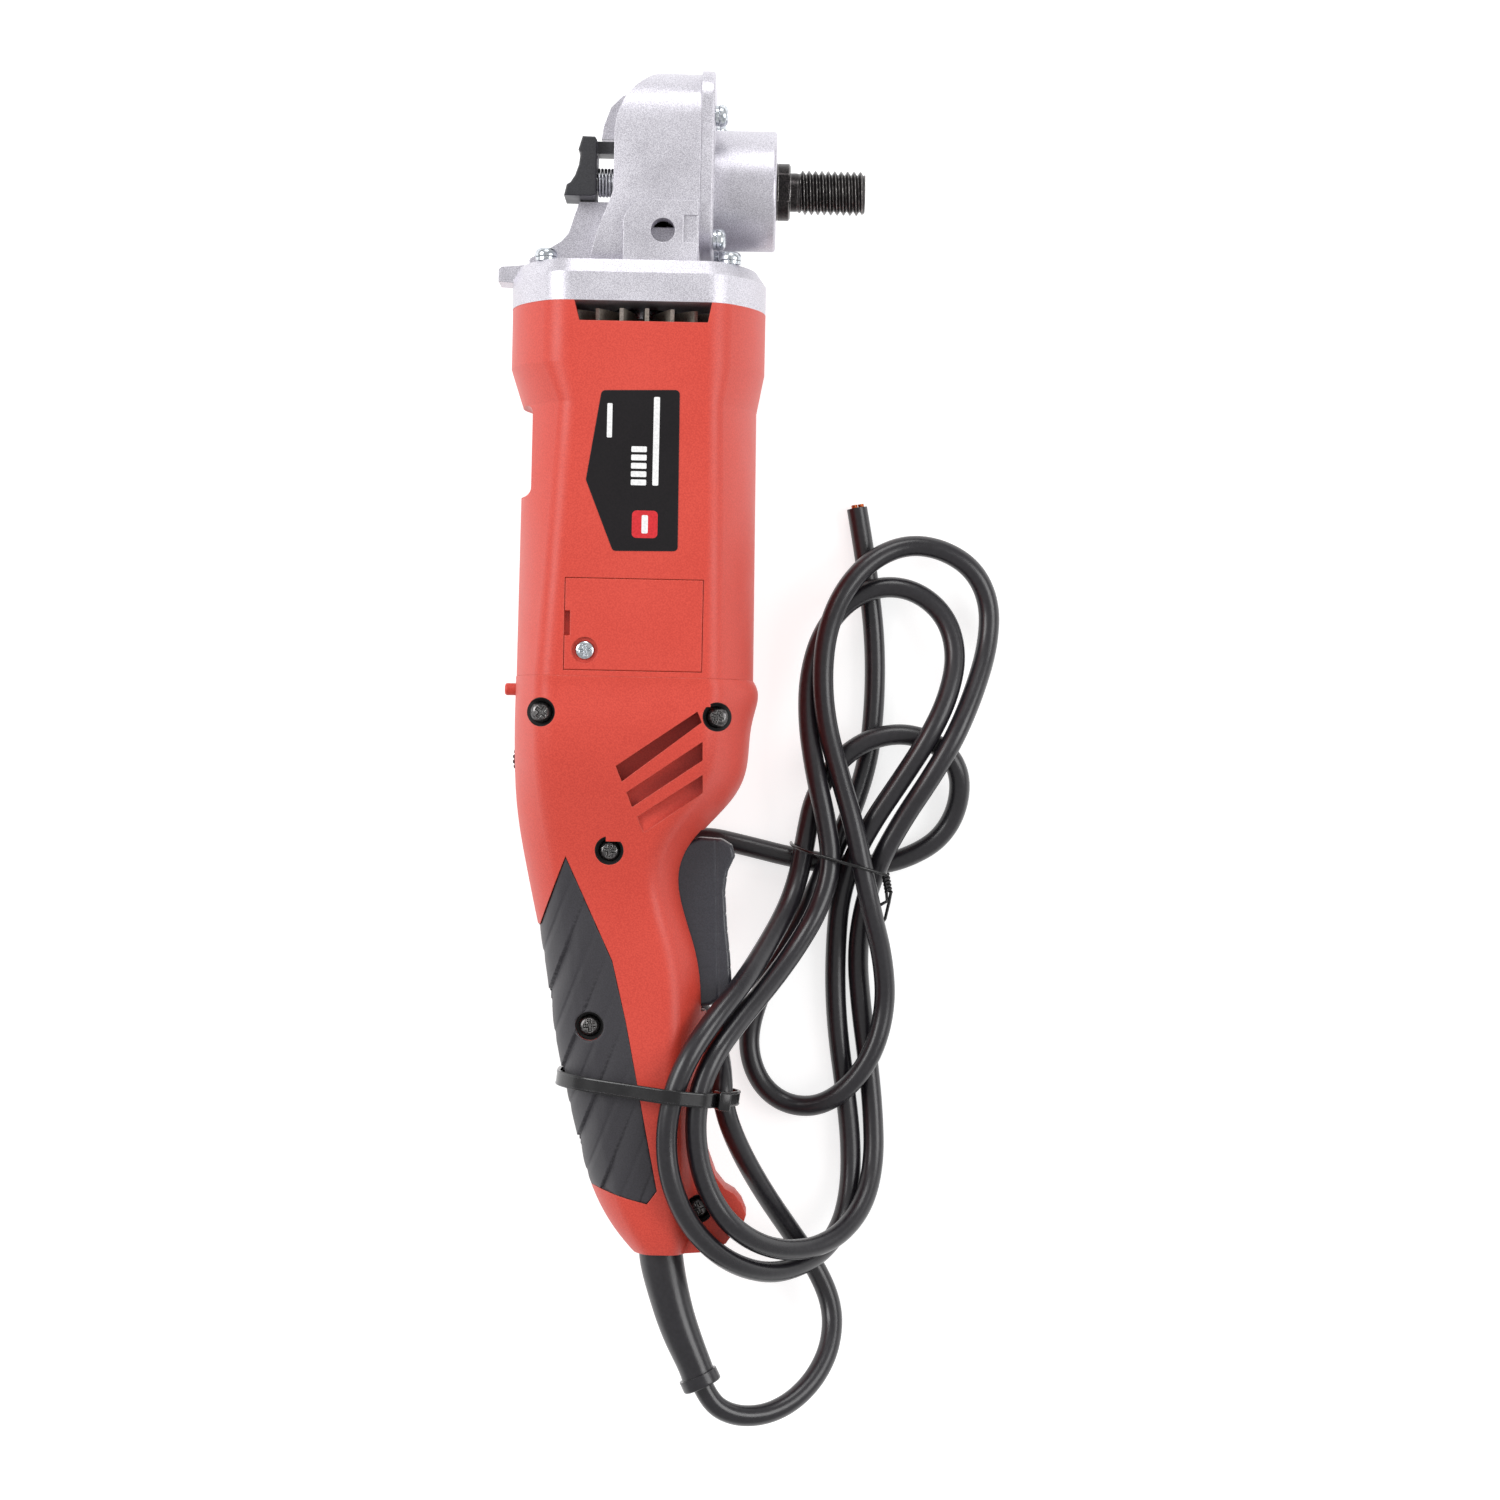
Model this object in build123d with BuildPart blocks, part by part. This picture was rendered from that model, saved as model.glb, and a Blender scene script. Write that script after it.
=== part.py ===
from build123d import *
import math
import os

os.makedirs("parts", exist_ok=True)

# A corded rotary polisher lying on its left side. Millimetres.
# +Y points to the gear head, +X along the spindle, +Z up from the surface the tool lies on.

# ---- driving dimensions ----
AXIS_X = -13.4          # motor axis, parallel to Y
MID_Z = 41.0            # mid-plane of the tool, half its height
SPINDLE_Y = 171.3       # spindle axis, parallel to X

HEAD_TOP = 210.5        # Y of the head's front end
FLANGE_TOP = 141.2      # Y of the gear housing's flange
MOTOR_FRONT = 126.5     # joint of gear housing and motor housing
MOTOR_REAR = -5.0       # joint of motor housing and handle
HANDLE_REAR = -210.5    # rear end of the handle

HEAD_BACK = -24.0       # X of the head's back wall
HEAD_HALF = 34.0        # half width of the head in Z
PLATE_X = 6.4           # where the cover plate meets the gear housing
PLATE_THICK = 4.7
NECK_END = 33.4         # X of the neck's end
NECK_R = 21.5
CAVITY_R = 31.0

CROWN_TEETH = 36
PINION_TEETH = 9
CROWN_R = 27.0          # pitch radius at the teeth's outer end
FACE_INNER = 20.0       # pitch radius at the teeth's inner end
PINION_R = CROWN_R * PINION_TEETH / CROWN_TEETH
ADDENDUM = 1.5
DEDENDUM = 1.9

THREAD_R = 15.875 / 2   # 5/8 in thread, drawn as a plain cylinder
THREAD_START = 41.0
THREAD_END = 65.4

LOCK_OFFSET = 14.0      # spindle lock pin, above the spindle axis
LOCK_PIN_R = 3.0
LOCK_FACE = -30.5       # X of the button's inner face
TAB_Y = 183.0           # guide tab of the button, which slides in a slot of the head
TAB_WIDE = 4.3
TAB_TALL = 12.0
TAB_LONG = 7.6
SCREW_R = 2.0

BORE_R = 36.0           # motor housing round the stator
FAN_BORE_R = 38.0
SHAFT_R = 5.0
REAR_SHAFT_R = 4.0
COMMUTATOR_R = 14.0
BRUSH_Y = 13.0
WALL = 3.0
PAD_DEPTH = 1.8         # depth of the soft grip in the shells

CORD_D = 7.6
CLEAR = 0.3

# ---- planes ----
SPINDLE_PLANE = Plane(origin=(0, SPINDLE_Y, MID_Z), x_dir=(0, 1, 0), z_dir=(1, 0, 0))
MOTOR_PLANE = Plane(origin=(AXIS_X, 0, MID_Z), x_dir=(1, 0, 0), z_dir=(0, 1, 0))
MID_PLANE = Plane.XY.offset(MID_Z)


def save(piece, name):
    """Label a finished piece and write it as one STEP file."""
    piece.label = name
    export_step(piece, f"parts/{name}.step")


def across_x(x):
    """Sketch plane square to the spindle: local x is +Y, local y is +Z."""
    return SPINDLE_PLANE.offset(x)


def across_y(y):
    """Sketch plane square to the motor axis: local x is +X from the axis, local y is -Z."""
    return MOTOR_PLANE.offset(y)


def along_x(x0, x1, r_out, r_in=0.0, mode=Mode.ADD):
    """A disc or ring on the spindle axis from x0 to x1."""
    with BuildSketch(across_x(x0)) as disc:
        Circle(r_out)
        if r_in:
            Circle(r_in, mode=Mode.SUBTRACT)
    extrude(disc.sketch, amount=x1 - x0, mode=mode)


def along_y(y0, y1, r_out, r_in=0.0, mode=Mode.ADD):
    """A disc or ring on the motor axis from y0 to y1."""
    with BuildSketch(across_y(y0)) as disc:
        Circle(r_out)
        if r_in:
            Circle(r_in, mode=Mode.SUBTRACT)
    extrude(disc.sketch, amount=y1 - y0, mode=mode)


def body_section(y, left, right, flat_left, flat_right, half, corner):
    """One cross-section of the housings: flat sides, bowed front and back, round corners."""
    with BuildSketch(across_y(y)) as section:
        with BuildLine():
            Line((flat_left, half), (flat_right, half))
            ThreePointArc((flat_right, half), (right, 0), (flat_right, -half))
            Line((flat_right, -half), (flat_left, -half))
            ThreePointArc((flat_left, -half), (left, 0), (flat_left, half))
        make_face()
        fillet(section.vertices(), corner)
    return section.sketch


def prism(points, z_low, z_high, mode=Mode.ADD):
    """A side outline in X and Y, extruded between two heights above the mid-plane."""
    with BuildSketch(MID_PLANE.offset(z_low)) as outline:
        with BuildLine():
            Polyline(*points, close=True)
        make_face()
    extrude(outline.sketch, amount=z_high - z_low, mode=mode)


def peg_z(x, y, z0, z1, r, mode=Mode.ADD):
    """A round peg or hole along Z; heights are counted from the mid-plane."""
    with BuildSketch(MID_PLANE.offset(z0)) as disc:
        with Locations((x, y)):
            Circle(r)
    extrude(disc.sketch, amount=z1 - z0, mode=mode)


# ---- gear head ----
FLANGE_SECTIONS = [
    (MOTOR_FRONT, -47.2, 43.9, -30, 28, 41, 12),
    (136.5, -47.2, 43.9, -30, 28, 41, 12),
    (FLANGE_TOP, -44.5, 40.5, -29, 26, 39.0, 11),
]
FLANGE_SCREWS = [(-34.0, 28.0), (31.0, 28.0), (31.0, -28.0), (-34.0, -28.0)]
COVER_SCREWS = [(23.3, 23.3), (23.3, -23.3), (-20.6, -23.3), (-20.6, 23.3)]
SIDE_HOLE = (-6.2, 152.0)
SIDE_HOLE_R = 4.25
SIDE_HOLE_DEEP = 11.0
BOSS_Z = 37.0

with BuildPart() as gear_housing:
    with BuildSketch(MID_PLANE) as head_outline:
        with BuildLine():
            Line((PLATE_X, 132), (PLATE_X, HEAD_TOP))
            Line((PLATE_X, HEAD_TOP), (-7.8, HEAD_TOP))
            ThreePointArc((-7.8, HEAD_TOP), (-18.6, 202.0), (HEAD_BACK, 186))
            Line((HEAD_BACK, 186), (HEAD_BACK, 166))
            Line((HEAD_BACK, 166), (-30, 150))
            Line((-30, 150), (-34, 132))
            Line((-34, 132), (PLATE_X, 132))
        make_face()
    extrude(amount=HEAD_HALF, both=True)
    with BuildSketch(across_x(-40)) as head_front:
        with Locations((-1.5, 0)):
            RectangleRounded(81, 2 * HEAD_HALF, 19)
    extrude(amount=60, mode=Mode.INTERSECT)
    with BuildSketch(across_y(130)) as head_above:
        with Locations((20, 0)):
            RectangleRounded(110, 2 * HEAD_HALF, 15)
    extrude(amount=90, mode=Mode.INTERSECT)
    prism([(0, 204), (-9, 206.5), (-16.4, 204.5), (-22.1, 202.6), (-26.2, 198.4), (-28.6, 192), (-29.3, 187),
           (HEAD_BACK + 4, 187), (HEAD_BACK + 4, 164.6), (-36.8, 164.6), (-40.5, 153.2), (-43, 150.3),
           (-47.9, 147.3), (-55.2, 143.4), (-50, 138), (0, 138)], -13, 13)
    fillet(gear_housing.edges().filter_by(Axis.Z).group_by(Axis.X)[0], 1.5)
    loft([body_section(*section) for section in FLANGE_SECTIONS], ruled=True)
    prism([(-65.4, 136), (-65.4, 140.4), (-64.2, 141.4), (-50, 142.6), (-50, 135)], -9, 9)
    for side in (1, -1):
        base = min(side * 20, side * BOSS_Z)
        with BuildSketch(MID_PLANE.offset(base)) as boss:
            with BuildLine():
                Line((5.9, 138), (5.9, 162.6))
                Line((5.9, 162.6), (-12, 162.6))
                ThreePointArc((-12, 162.6), (-18.2, 159.5), (-20, 152))
                Line((-20, 152), (-20, 138))
                Line((-20, 138), (5.9, 138))
            make_face()
        extrude(amount=BOSS_Z - 20)
        peg_z(*SIDE_HOLE, side * BOSS_Z, side * (BOSS_Z - SIDE_HOLE_DEEP), SIDE_HOLE_R, Mode.SUBTRACT)
        prism([(0.9, 147.7), (0.9, 157.4), (8, 157.4), (8, 147.7)],
              min(side * 36, side * 38), max(side * 36, side * 38), Mode.SUBTRACT)
    along_x(-16.5, PLATE_X + 1, CAVITY_R, mode=Mode.SUBTRACT)
    along_x(-22.5, -16.5, 8.0, mode=Mode.SUBTRACT)
    along_y(MOTOR_FRONT, 137.0, 13.0, mode=Mode.SUBTRACT)
    along_y(137.0, 156.0, 9.4, mode=Mode.SUBTRACT)
    with BuildSketch(across_x(-60)):
        with Locations((0, LOCK_OFFSET)):
            Circle(LOCK_PIN_R + 0.05)
    extrude(amount=50, mode=Mode.SUBTRACT)
    with BuildSketch(across_x(-18.0)):
        with Locations((TAB_Y - SPINDLE_Y, LOCK_OFFSET)):
            Rectangle(TAB_WIDE + 0.5, TAB_TALL + 0.5)
    extrude(amount=-20, mode=Mode.SUBTRACT)
    with BuildSketch(across_y(MOTOR_FRONT)):
        with Locations(*FLANGE_SCREWS):
            Circle(SCREW_R)
    extrude(amount=30, mode=Mode.SUBTRACT)
    with BuildSketch(across_x(PLATE_X)):
        with Locations(*COVER_SCREWS):
            Circle(SCREW_R)
    extrude(amount=-14, mode=Mode.SUBTRACT)

PLATE_OUT = PLATE_X + PLATE_THICK
with BuildPart() as gear_cover:
    with BuildSketch(across_x(PLATE_X)):
        with Locations(((HEAD_TOP + 146.6) / 2 - SPINDLE_Y, 0)):
            RectangleRounded(HEAD_TOP - 146.6, 2 * HEAD_HALF - 1, 12)
    extrude(amount=PLATE_THICK)
    chamfer(gear_cover.faces().sort_by(Axis.X)[-1].edges(), 0.6)
    along_x(3.4, PLATE_X, CAVITY_R - 0.05)
    along_x(PLATE_X, NECK_END, NECK_R)
    fillet(gear_cover.faces().sort_by(Axis.X)[-1].edges(), 1.2)
    along_x(3.4, 15.0, 17.5, mode=Mode.SUBTRACT)
    along_x(15.0, NECK_END, 11.5, mode=Mode.SUBTRACT)
    with BuildSketch(across_x(0)):
        with Locations(*COVER_SCREWS):
            Circle(SCREW_R)
    extrude(amount=20, mode=Mode.SUBTRACT)

with BuildPart() as cover_screws:
    with BuildSketch(across_x(PLATE_OUT - 14)):
        with Locations(*COVER_SCREWS):
            Circle(SCREW_R)
    extrude(amount=15.6)
    with BuildSketch(across_x(PLATE_OUT + 1.6)):
        with Locations(*COVER_SCREWS):
            Circle(4.0)
    extrude(amount=3.2)
    fillet(cover_screws.edges().group_by(Axis.X)[-1], 1.2)

with BuildPart() as cover_washers:
    with BuildSketch(across_x(PLATE_OUT)):
        with Locations(*COVER_SCREWS):
            Circle(3.7)
            Circle(SCREW_R, mode=Mode.SUBTRACT)
    extrude(amount=1.6)

with BuildPart() as flange_screws:
    with BuildSketch(across_y(FLANGE_TOP - 30)):
        with Locations(*FLANGE_SCREWS):
            Circle(SCREW_R)
    extrude(amount=31.6)
    with BuildSketch(across_y(FLANGE_TOP + 1.6)):
        with Locations(*FLANGE_SCREWS):
            Circle(4.0)
    extrude(amount=3.2)
    fillet(flange_screws.edges().group_by(Axis.Y)[-1], 1.2)

with BuildPart() as flange_washers:
    with BuildSketch(across_y(FLANGE_TOP)):
        with Locations(*FLANGE_SCREWS):
            Circle(3.7)
            Circle(SCREW_R, mode=Mode.SUBTRACT)
    extrude(amount=1.6)

# ---- spindle and its gear ----
SPINDLE_STEPS = [  # from x, to x, radius
    (-22.3, -16.8, 5.0),
    (-16.8, -7.0, 6.0),
    (-7.0, 14.9, 7.5),
    (14.9, 33.9, 10.5),
    (38.4, THREAD_START, 6.9),
    (THREAD_START, THREAD_END, THREAD_R),
]
with BuildPart() as spindle:
    for x0, x1, r in SPINDLE_STEPS:
        along_x(x0, x1, r)
    with BuildSketch(across_x(33.9)):
        Circle(10.2)
        Rectangle(30, 17.6, mode=Mode.INTERSECT)
    extrude(amount=4.5)
    chamfer(spindle.edges().group_by(Axis.X)[-1], 1.2)

ROOT_OUT = PINION_R + DEDENDUM
CONE = FACE_INNER / CROWN_R
with BuildPart() as crown_gear:
    with BuildSketch(Plane.XZ) as blank:
        with BuildLine():
            Polyline((7.5, 6.05), (18.8, 6.05), (27.6, ROOT_OUT), (27.6, 14.6), (13, 14.6), (13, 16.8),
                     (7.5, 16.8), close=True)
        make_face()
    revolve(axis=Axis.Z)
    for r in (CROWN_R + 0.5, FACE_INNER - 0.4):
        grow = r / CROWN_R
        root = (PINION_R + DEDENDUM + 0.4) * grow
        tip = (PINION_R - ADDENDUM) * grow
        with BuildSketch(Plane(origin=(r, 0, 0), x_dir=(0, 1, 0), z_dir=(1, 0, 0))):
            with BuildLine():
                Polyline((-1.5 * grow, root), (1.5 * grow, root), (0.5 * grow, tip), (-0.5 * grow, tip),
                         close=True)
            make_face()
    tooth = loft(ruled=True, mode=Mode.PRIVATE)
    with PolarLocations(0, CROWN_TEETH):
        add(tooth)
    with PolarLocations(LOCK_OFFSET, 4, start_angle=90):
        Cylinder(LOCK_PIN_R + 0.2, 40, mode=Mode.SUBTRACT)
crown_place = Plane(origin=(AXIS_X, SPINDLE_Y, MID_Z), x_dir=(0, 1, 0), z_dir=(1, 0, 0))

with BuildPart() as pinion_gear:
    with BuildSketch(Plane.XZ) as pinion_blank:
        with BuildLine():
            Polyline((2.5, -4.2), (5.2, -4.2), (5.2, -0.2), (PINION_R - DEDENDUM, 0),
                     ((PINION_R - DEDENDUM) * CONE, CROWN_R - FACE_INNER),
                     (2.5, CROWN_R - FACE_INNER), close=True)
        make_face()
    revolve(axis=Axis.Z)
    for z, grow in ((0, 1.0), (CROWN_R - FACE_INNER, CONE)):
        with BuildSketch(Plane.XY.offset(z)):
            with BuildLine():
                Polyline((4.6 * grow, -1.45 * grow), (4.6 * grow, 1.45 * grow),
                         ((PINION_R + ADDENDUM) * grow, 0.4 * grow),
                         ((PINION_R + ADDENDUM) * grow, -0.4 * grow), close=True)
            make_face()
    pinion_tooth = loft(ruled=True, mode=Mode.PRIVATE)
    with PolarLocations(0, PINION_TEETH, start_angle=180 / PINION_TEETH):
        add(pinion_tooth)
    Cylinder(2.5, 60, mode=Mode.SUBTRACT)
pinion_place = MOTOR_PLANE.offset(SPINDLE_Y - CROWN_R)

with BuildPart() as spindle_bearing_inner:
    along_x(3.5, 14.5, 10.2, 7.5)
with BuildPart() as spindle_bearing_outer:
    along_x(3.9, 14.9, 17.5, 14.6)
with BuildPart(Plane(origin=(9.2, SPINDLE_Y, MID_Z), z_dir=(1, 0, 0))) as spindle_bearing_balls:
    with PolarLocations(12.4, 10):
        Sphere(1.9)
with BuildPart() as spindle_bush:
    along_x(-22.5, -16.9, 8.0, 5.04)

# ---- spindle lock ----
with BuildPart() as lock_button:
    prism([(LOCK_FACE, 165.8), (LOCK_FACE, 185.2), (-31.2, 186.2), (-35.6, 186.3), (-37.0, 181.5),
           (-36.2, 180.4), (-36.7, 176.2), (-38.0, 172.4), (-39.6, 169.9), (-40.9, 169.1), (-41.8, 165.2),
           (-32.0, 165.1)], 3, 25)
    fillet(lock_button.faces().sort_by(Axis.Z)[-1].edges(), 0.6)
    with BuildSketch(across_x(LOCK_FACE)):
        with Locations((TAB_Y - SPINDLE_Y, LOCK_OFFSET)):
            Rectangle(TAB_WIDE, TAB_TALL)
    extrude(amount=TAB_LONG)
    with BuildSketch(across_x(LOCK_FACE)):
        with Locations((0, LOCK_OFFSET)):
            Circle(LOCK_PIN_R)
    extrude(amount=-3, mode=Mode.SUBTRACT)
with BuildPart() as lock_pin:
    with BuildSketch(across_x(LOCK_FACE - 3)):
        with Locations((0, LOCK_OFFSET)):
            Circle(LOCK_PIN_R)
    extrude(amount=-9.6 - (LOCK_FACE - 3))
    chamfer(lock_pin.edges().group_by(Axis.X)[-1], 0.5)
with BuildPart() as lock_spring:
    with BuildSketch(across_x(LOCK_FACE)):
        with Locations((0, LOCK_OFFSET)):
            Circle(5.2)
            Circle(4.0, mode=Mode.SUBTRACT)
    extrude(amount=HEAD_BACK - LOCK_FACE)

# ---- armature ----
SHAFT_STEPS = [  # from y, to y, radius
    (-4.6, 3.0, REAR_SHAFT_R),
    (3.0, 140.0, SHAFT_R),
    (140.0, SPINDLE_Y - FACE_INNER, 2.5),
]
with BuildPart() as armature_shaft:
    for y0, y1, r in SHAFT_STEPS:
        along_y(y0, y1, r)
with BuildPart() as rotor_core:
    along_y(36, 88, 22.6, SHAFT_R)
    with BuildSketch(across_y(36)):
        with PolarLocations(20.6, 12):
            SlotOverall(6.0, 3.0)
    extrude(amount=52, mode=Mode.SUBTRACT)
with BuildPart() as rotor_windings:
    for y0, y1 in ((27, 36), (88, 97)):
        along_y(y0, y1, 21.4, 8.0)
        fillet(rotor_windings.edges().filter_by(GeomType.CIRCLE).group_by(Axis.Y)[-1], 2.0)
    with BuildSketch(across_y(36)):
        with PolarLocations(20.3, 12):
            SlotOverall(5.0, 2.6)
    extrude(amount=52)
with BuildPart() as commutator:
    along_y(5, 21, COMMUTATOR_R, SHAFT_R)
    along_y(21, 24, COMMUTATOR_R + 1.6, SHAFT_R)
    with BuildSketch(across_y(5)):
        with PolarLocations(COMMUTATOR_R, 24):
            Rectangle(2.0, 0.6)
    extrude(amount=16, mode=Mode.SUBTRACT)
FAN_BLADES = 25
with BuildPart() as fan:
    along_y(108, 110, 36.0, SHAFT_R)
    along_y(110, 123.5, 11.0, SHAFT_R)
    with BuildSketch(across_y(110)):
        with PolarLocations(25.0, FAN_BLADES):
            Rectangle(22.0, 1.4)
    extrude(amount=14.5)


def bearing(y0, width, bore, outer, balls):
    """Inner race, outer race and balls of a bearing on the motor axis."""
    pitch = (bore + outer) / 2
    ball = (outer - bore) * 0.22
    with BuildPart() as inner:
        along_y(y0, y0 + width, pitch - ball - 0.25, bore)
    with BuildPart() as outer_race:
        along_y(y0, y0 + width, outer, pitch + ball + 0.05)
    with BuildPart(across_y(y0 + width / 2)) as ball_ring:
        with PolarLocations(pitch, balls):
            Sphere(ball)
    return inner.part, outer_race.part, ball_ring.part


front_inner, front_outer, front_balls = bearing(128.6, 8, SHAFT_R, 13.0, 8)
rear_inner, rear_outer, rear_balls = bearing(-4.4, 7, REAR_SHAFT_R, 11.0, 7)

# ---- motor ----
STATOR_R = BORE_R - 0.1
with BuildPart() as stator_core:
    along_y(34, 90, STATOR_R, 30.0)
    with BuildSketch(across_y(34)):
        Circle(30.2)
        Circle(23.4, mode=Mode.SUBTRACT)
        Rectangle(80, 40, mode=Mode.INTERSECT)
    extrude(amount=56)
with BuildPart() as field_coils:
    for y0, y1 in ((24.5, 34), (90, 99.5)):
        along_y(y0, y1, 32.5, 24.5)
    with BuildSketch(across_y(34)):
        Circle(29.8)
        Circle(24.5, mode=Mode.SUBTRACT)
        Rectangle(80, 41, mode=Mode.SUBTRACT)
    extrude(amount=56)
with BuildPart() as air_baffle:
    along_y(101.5, 104.0, FAN_BORE_R - 0.1, 27.0)

BARREL_SECTIONS = [
    (MOTOR_REAR, -42.9, 42.2, -32.3, 29.1, 41, 8),
    (91.0, -42.4, 41.3, -25.5, 27.1, 41, 8),
    (105.0, -47.0, 43.9, -30, 28, 41, 12),
    (MOTOR_FRONT, -47.0, 43.9, -30, 28, 41, 12),
]
COVER_LEFT = -37.8
COVER_RIGHT = 10.8
COVER_REAR = -3.0
COVER_FRONT = 29.4
COVER_THICK = 2.4
COVER_SCREW = (-30.4, 4.0)
COVER_OUTLINE = [(COVER_LEFT, COVER_REAR), (COVER_RIGHT, COVER_REAR), (COVER_RIGHT, COVER_FRONT),
                 (COVER_LEFT, COVER_FRONT)]
BRUSH_W = 7.0
BRUSH_L = 12.0
HOLDER_WALL = 2.2
AIR_HOLES = 6


def holder_outline(grow=0.0):
    """Cross-section of a brush holder, seen along Z."""
    with Locations((AXIS_X, BRUSH_Y)):
        Rectangle(BRUSH_W + 2 * HOLDER_WALL + grow, BRUSH_L + 2 * HOLDER_WALL + grow)


with BuildPart() as motor_housing:
    loft([body_section(*section) for section in BARREL_SECTIONS], ruled=True)
    with BuildSketch(MID_PLANE):
        with Locations((-60, 75)):
            RectangleRounded(17.4, 32.4, 3)
    extrude(amount=30, both=True, mode=Mode.SUBTRACT)
    along_y(3.2, 100, BORE_R, mode=Mode.SUBTRACT)
    along_y(100, MOTOR_FRONT, FAN_BORE_R, mode=Mode.SUBTRACT)
    along_y(MOTOR_REAR, 3.2, 11.0, mode=Mode.SUBTRACT)
    with BuildSketch(across_y(MOTOR_REAR)):
        with PolarLocations(24, AIR_HOLES, start_angle=30):
            Circle(6)
    extrude(amount=9, mode=Mode.SUBTRACT)
    prism([(-36.6, MOTOR_FRONT), (-34.7, 119.4), (10.3, 119.4), (11.6, MOTOR_FRONT)], -41, 41, Mode.SUBTRACT)
    for side in (1, -1):
        with BuildSketch(MID_PLANE.offset(side * 41)):
            with BuildLine():
                Polyline(*COVER_OUTLINE, close=True)
            make_face()
        extrude(amount=-side * COVER_THICK, mode=Mode.SUBTRACT)
        with BuildSketch(MID_PLANE):
            holder_outline()
        extrude(amount=side * 45, mode=Mode.SUBTRACT)
        peg_z(*COVER_SCREW, side * 40, side * 32, 1.6, Mode.SUBTRACT)
    with BuildSketch(across_y(FLANGE_TOP - 30)):
        with Locations(*FLANGE_SCREWS):
            Circle(SCREW_R)
    extrude(amount=30, mode=Mode.SUBTRACT)

with BuildPart() as brush_holders:
    for side in (1, -1):
        with BuildSketch(MID_PLANE.offset(side * 16.2)):
            holder_outline()
            with Locations((AXIS_X, BRUSH_Y)):
                Rectangle(BRUSH_W + 0.3, BRUSH_L + 0.3, mode=Mode.SUBTRACT)
        extrude(amount=side * 21.8)
with BuildPart() as carbon_brushes:
    for side in (1, -1):
        with BuildSketch(MID_PLANE.offset(side * (COMMUTATOR_R + CLEAR))):
            with Locations((AXIS_X, BRUSH_Y)):
                Rectangle(BRUSH_W, BRUSH_L)
        extrude(amount=side * 16)
with BuildPart() as brush_springs:
    for side in (1, -1):
        with BuildSketch(MID_PLANE.offset(side * (COMMUTATOR_R + CLEAR + 16))):
            with Locations((AXIS_X, BRUSH_Y)):
                Circle(3.0)
                Circle(2.2, mode=Mode.SUBTRACT)
        extrude(amount=side * (38.6 - COMMUTATOR_R - CLEAR - 16))


def brush_cover(side):
    """Service cover over one brush, with a counterbored screw hole and a pry notch."""
    with BuildPart() as cover:
        with BuildSketch(MID_PLANE.offset(side * 41)):
            with BuildLine():
                Polyline(*COVER_OUTLINE, close=True)
            make_face()
            offset(amount=-0.15, kind=Kind.INTERSECTION, mode=Mode.REPLACE)
            with Locations((COVER_LEFT + 1.0, 13.4)):
                Rectangle(2.0, 8.6, mode=Mode.SUBTRACT)
        extrude(amount=-side * COVER_THICK)
        chamfer(cover.faces().sort_by(Axis.Z)[-1 if side > 0 else 0].outer_wire().edges(), 0.25)
        peg_z(*COVER_SCREW, side * 41, side * 39.6, 4.6, Mode.SUBTRACT)
        peg_z(*COVER_SCREW, side * 41, side * 38, 1.6, Mode.SUBTRACT)
    return cover.part


brush_cover_right = brush_cover(1)
brush_cover_left = brush_cover(-1)

with BuildPart() as brush_cover_screws:
    for side in (1, -1):
        peg_z(*COVER_SCREW, side * 39.6, side * 32.5, 1.6)
        peg_z(*COVER_SCREW, side * 39.6, side * 40.8, 3.4)

LABEL_Z = 41.0
LABEL_THICK = 0.15
with BuildPart() as name_label:
    with BuildSketch(MID_PLANE.offset(LABEL_Z)) as label_outline:
        with BuildLine():
            Polyline((-26.3, 95.0), (1.0, 95.6), (1.4, 39.2), (-21.3, 38.9), (-31.2, 63.6), close=True)
        make_face()
        fillet(label_outline.vertices(), 1.6)
    extrude(amount=LABEL_THICK)

# ---- handle ----
HANDLE_SECTIONS = [  # y, back, front, flat from, flat to, half thickness, corner radius
    (MOTOR_REAR, -43.1, 42.2, -32.3, 29.0, 41.0, 8),
    (-20, -43.2, 42.1, -32.3, 28.5, 41.0, 8.5),
    (-34, -43.0, 40.8, -31.5, 27.0, 39.0, 9),
    (-47, -42.3, 35.9, -30.0, 22.0, 35.0, 9),
    (-60, -40.6, 24.6, -27.5, 13.0, 30.5, 9),
    (-74, -37.8, 18.2, -25.0, 8.0, 26.5, 8),
    (-92, -33.8, 21.8, -21.5, 11.0, 23.8, 8),
    (-120, -28.6, 27.6, -16.5, 16.0, 22.6, 8),
    (-150, -22.7, 28.3, -10.5, 17.0, 22.6, 8),
    (-175, -16.2, 28.4, -5.0, 17.5, 21.8, 8),
    (-192, -10.0, 27.8, 0.5, 18.0, 20.0, 8),
    (-204, -2.5, 26.6, 5.5, 18.5, 17.5, 7),
    (HANDLE_REAR, 3.2, 23.2, 8.5, 18.0, 14.5, 5),
]
PAD_OUTLINE = [(-36.2, -68.5), (-27.2, -88), (-19.0, -105.5), (-13.8, -127), (-9.2, -149.5), (-5.4, -168.5),
               (-1.6, -187.0), (-5.1, -191.8), (-12.7, -189.8), (-24.1, -186.5), (-40, -186.5), (-60, -120),
               (-60, -94.0), (-45.6, -93.4)]
WELLS = [(-45.4, -17.9, 40.0), (16.4, -18.4, 40.0), (-20.8, -66.2, 30.0), (-26.8, -128.8, 22.5),
         (13.2, -194.0, 12.0)]      # x, y, height of the mouth above the mid-plane
WELL_R = 5.1
WELL_DEEP = 6.0
HANDLE_SCREW_HEAD_R = 3.9
DUCT_DEPTH = 29.0       # floor of the air duct behind the vents, from the mid-plane
DUCT_WALL = 1.5
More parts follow.
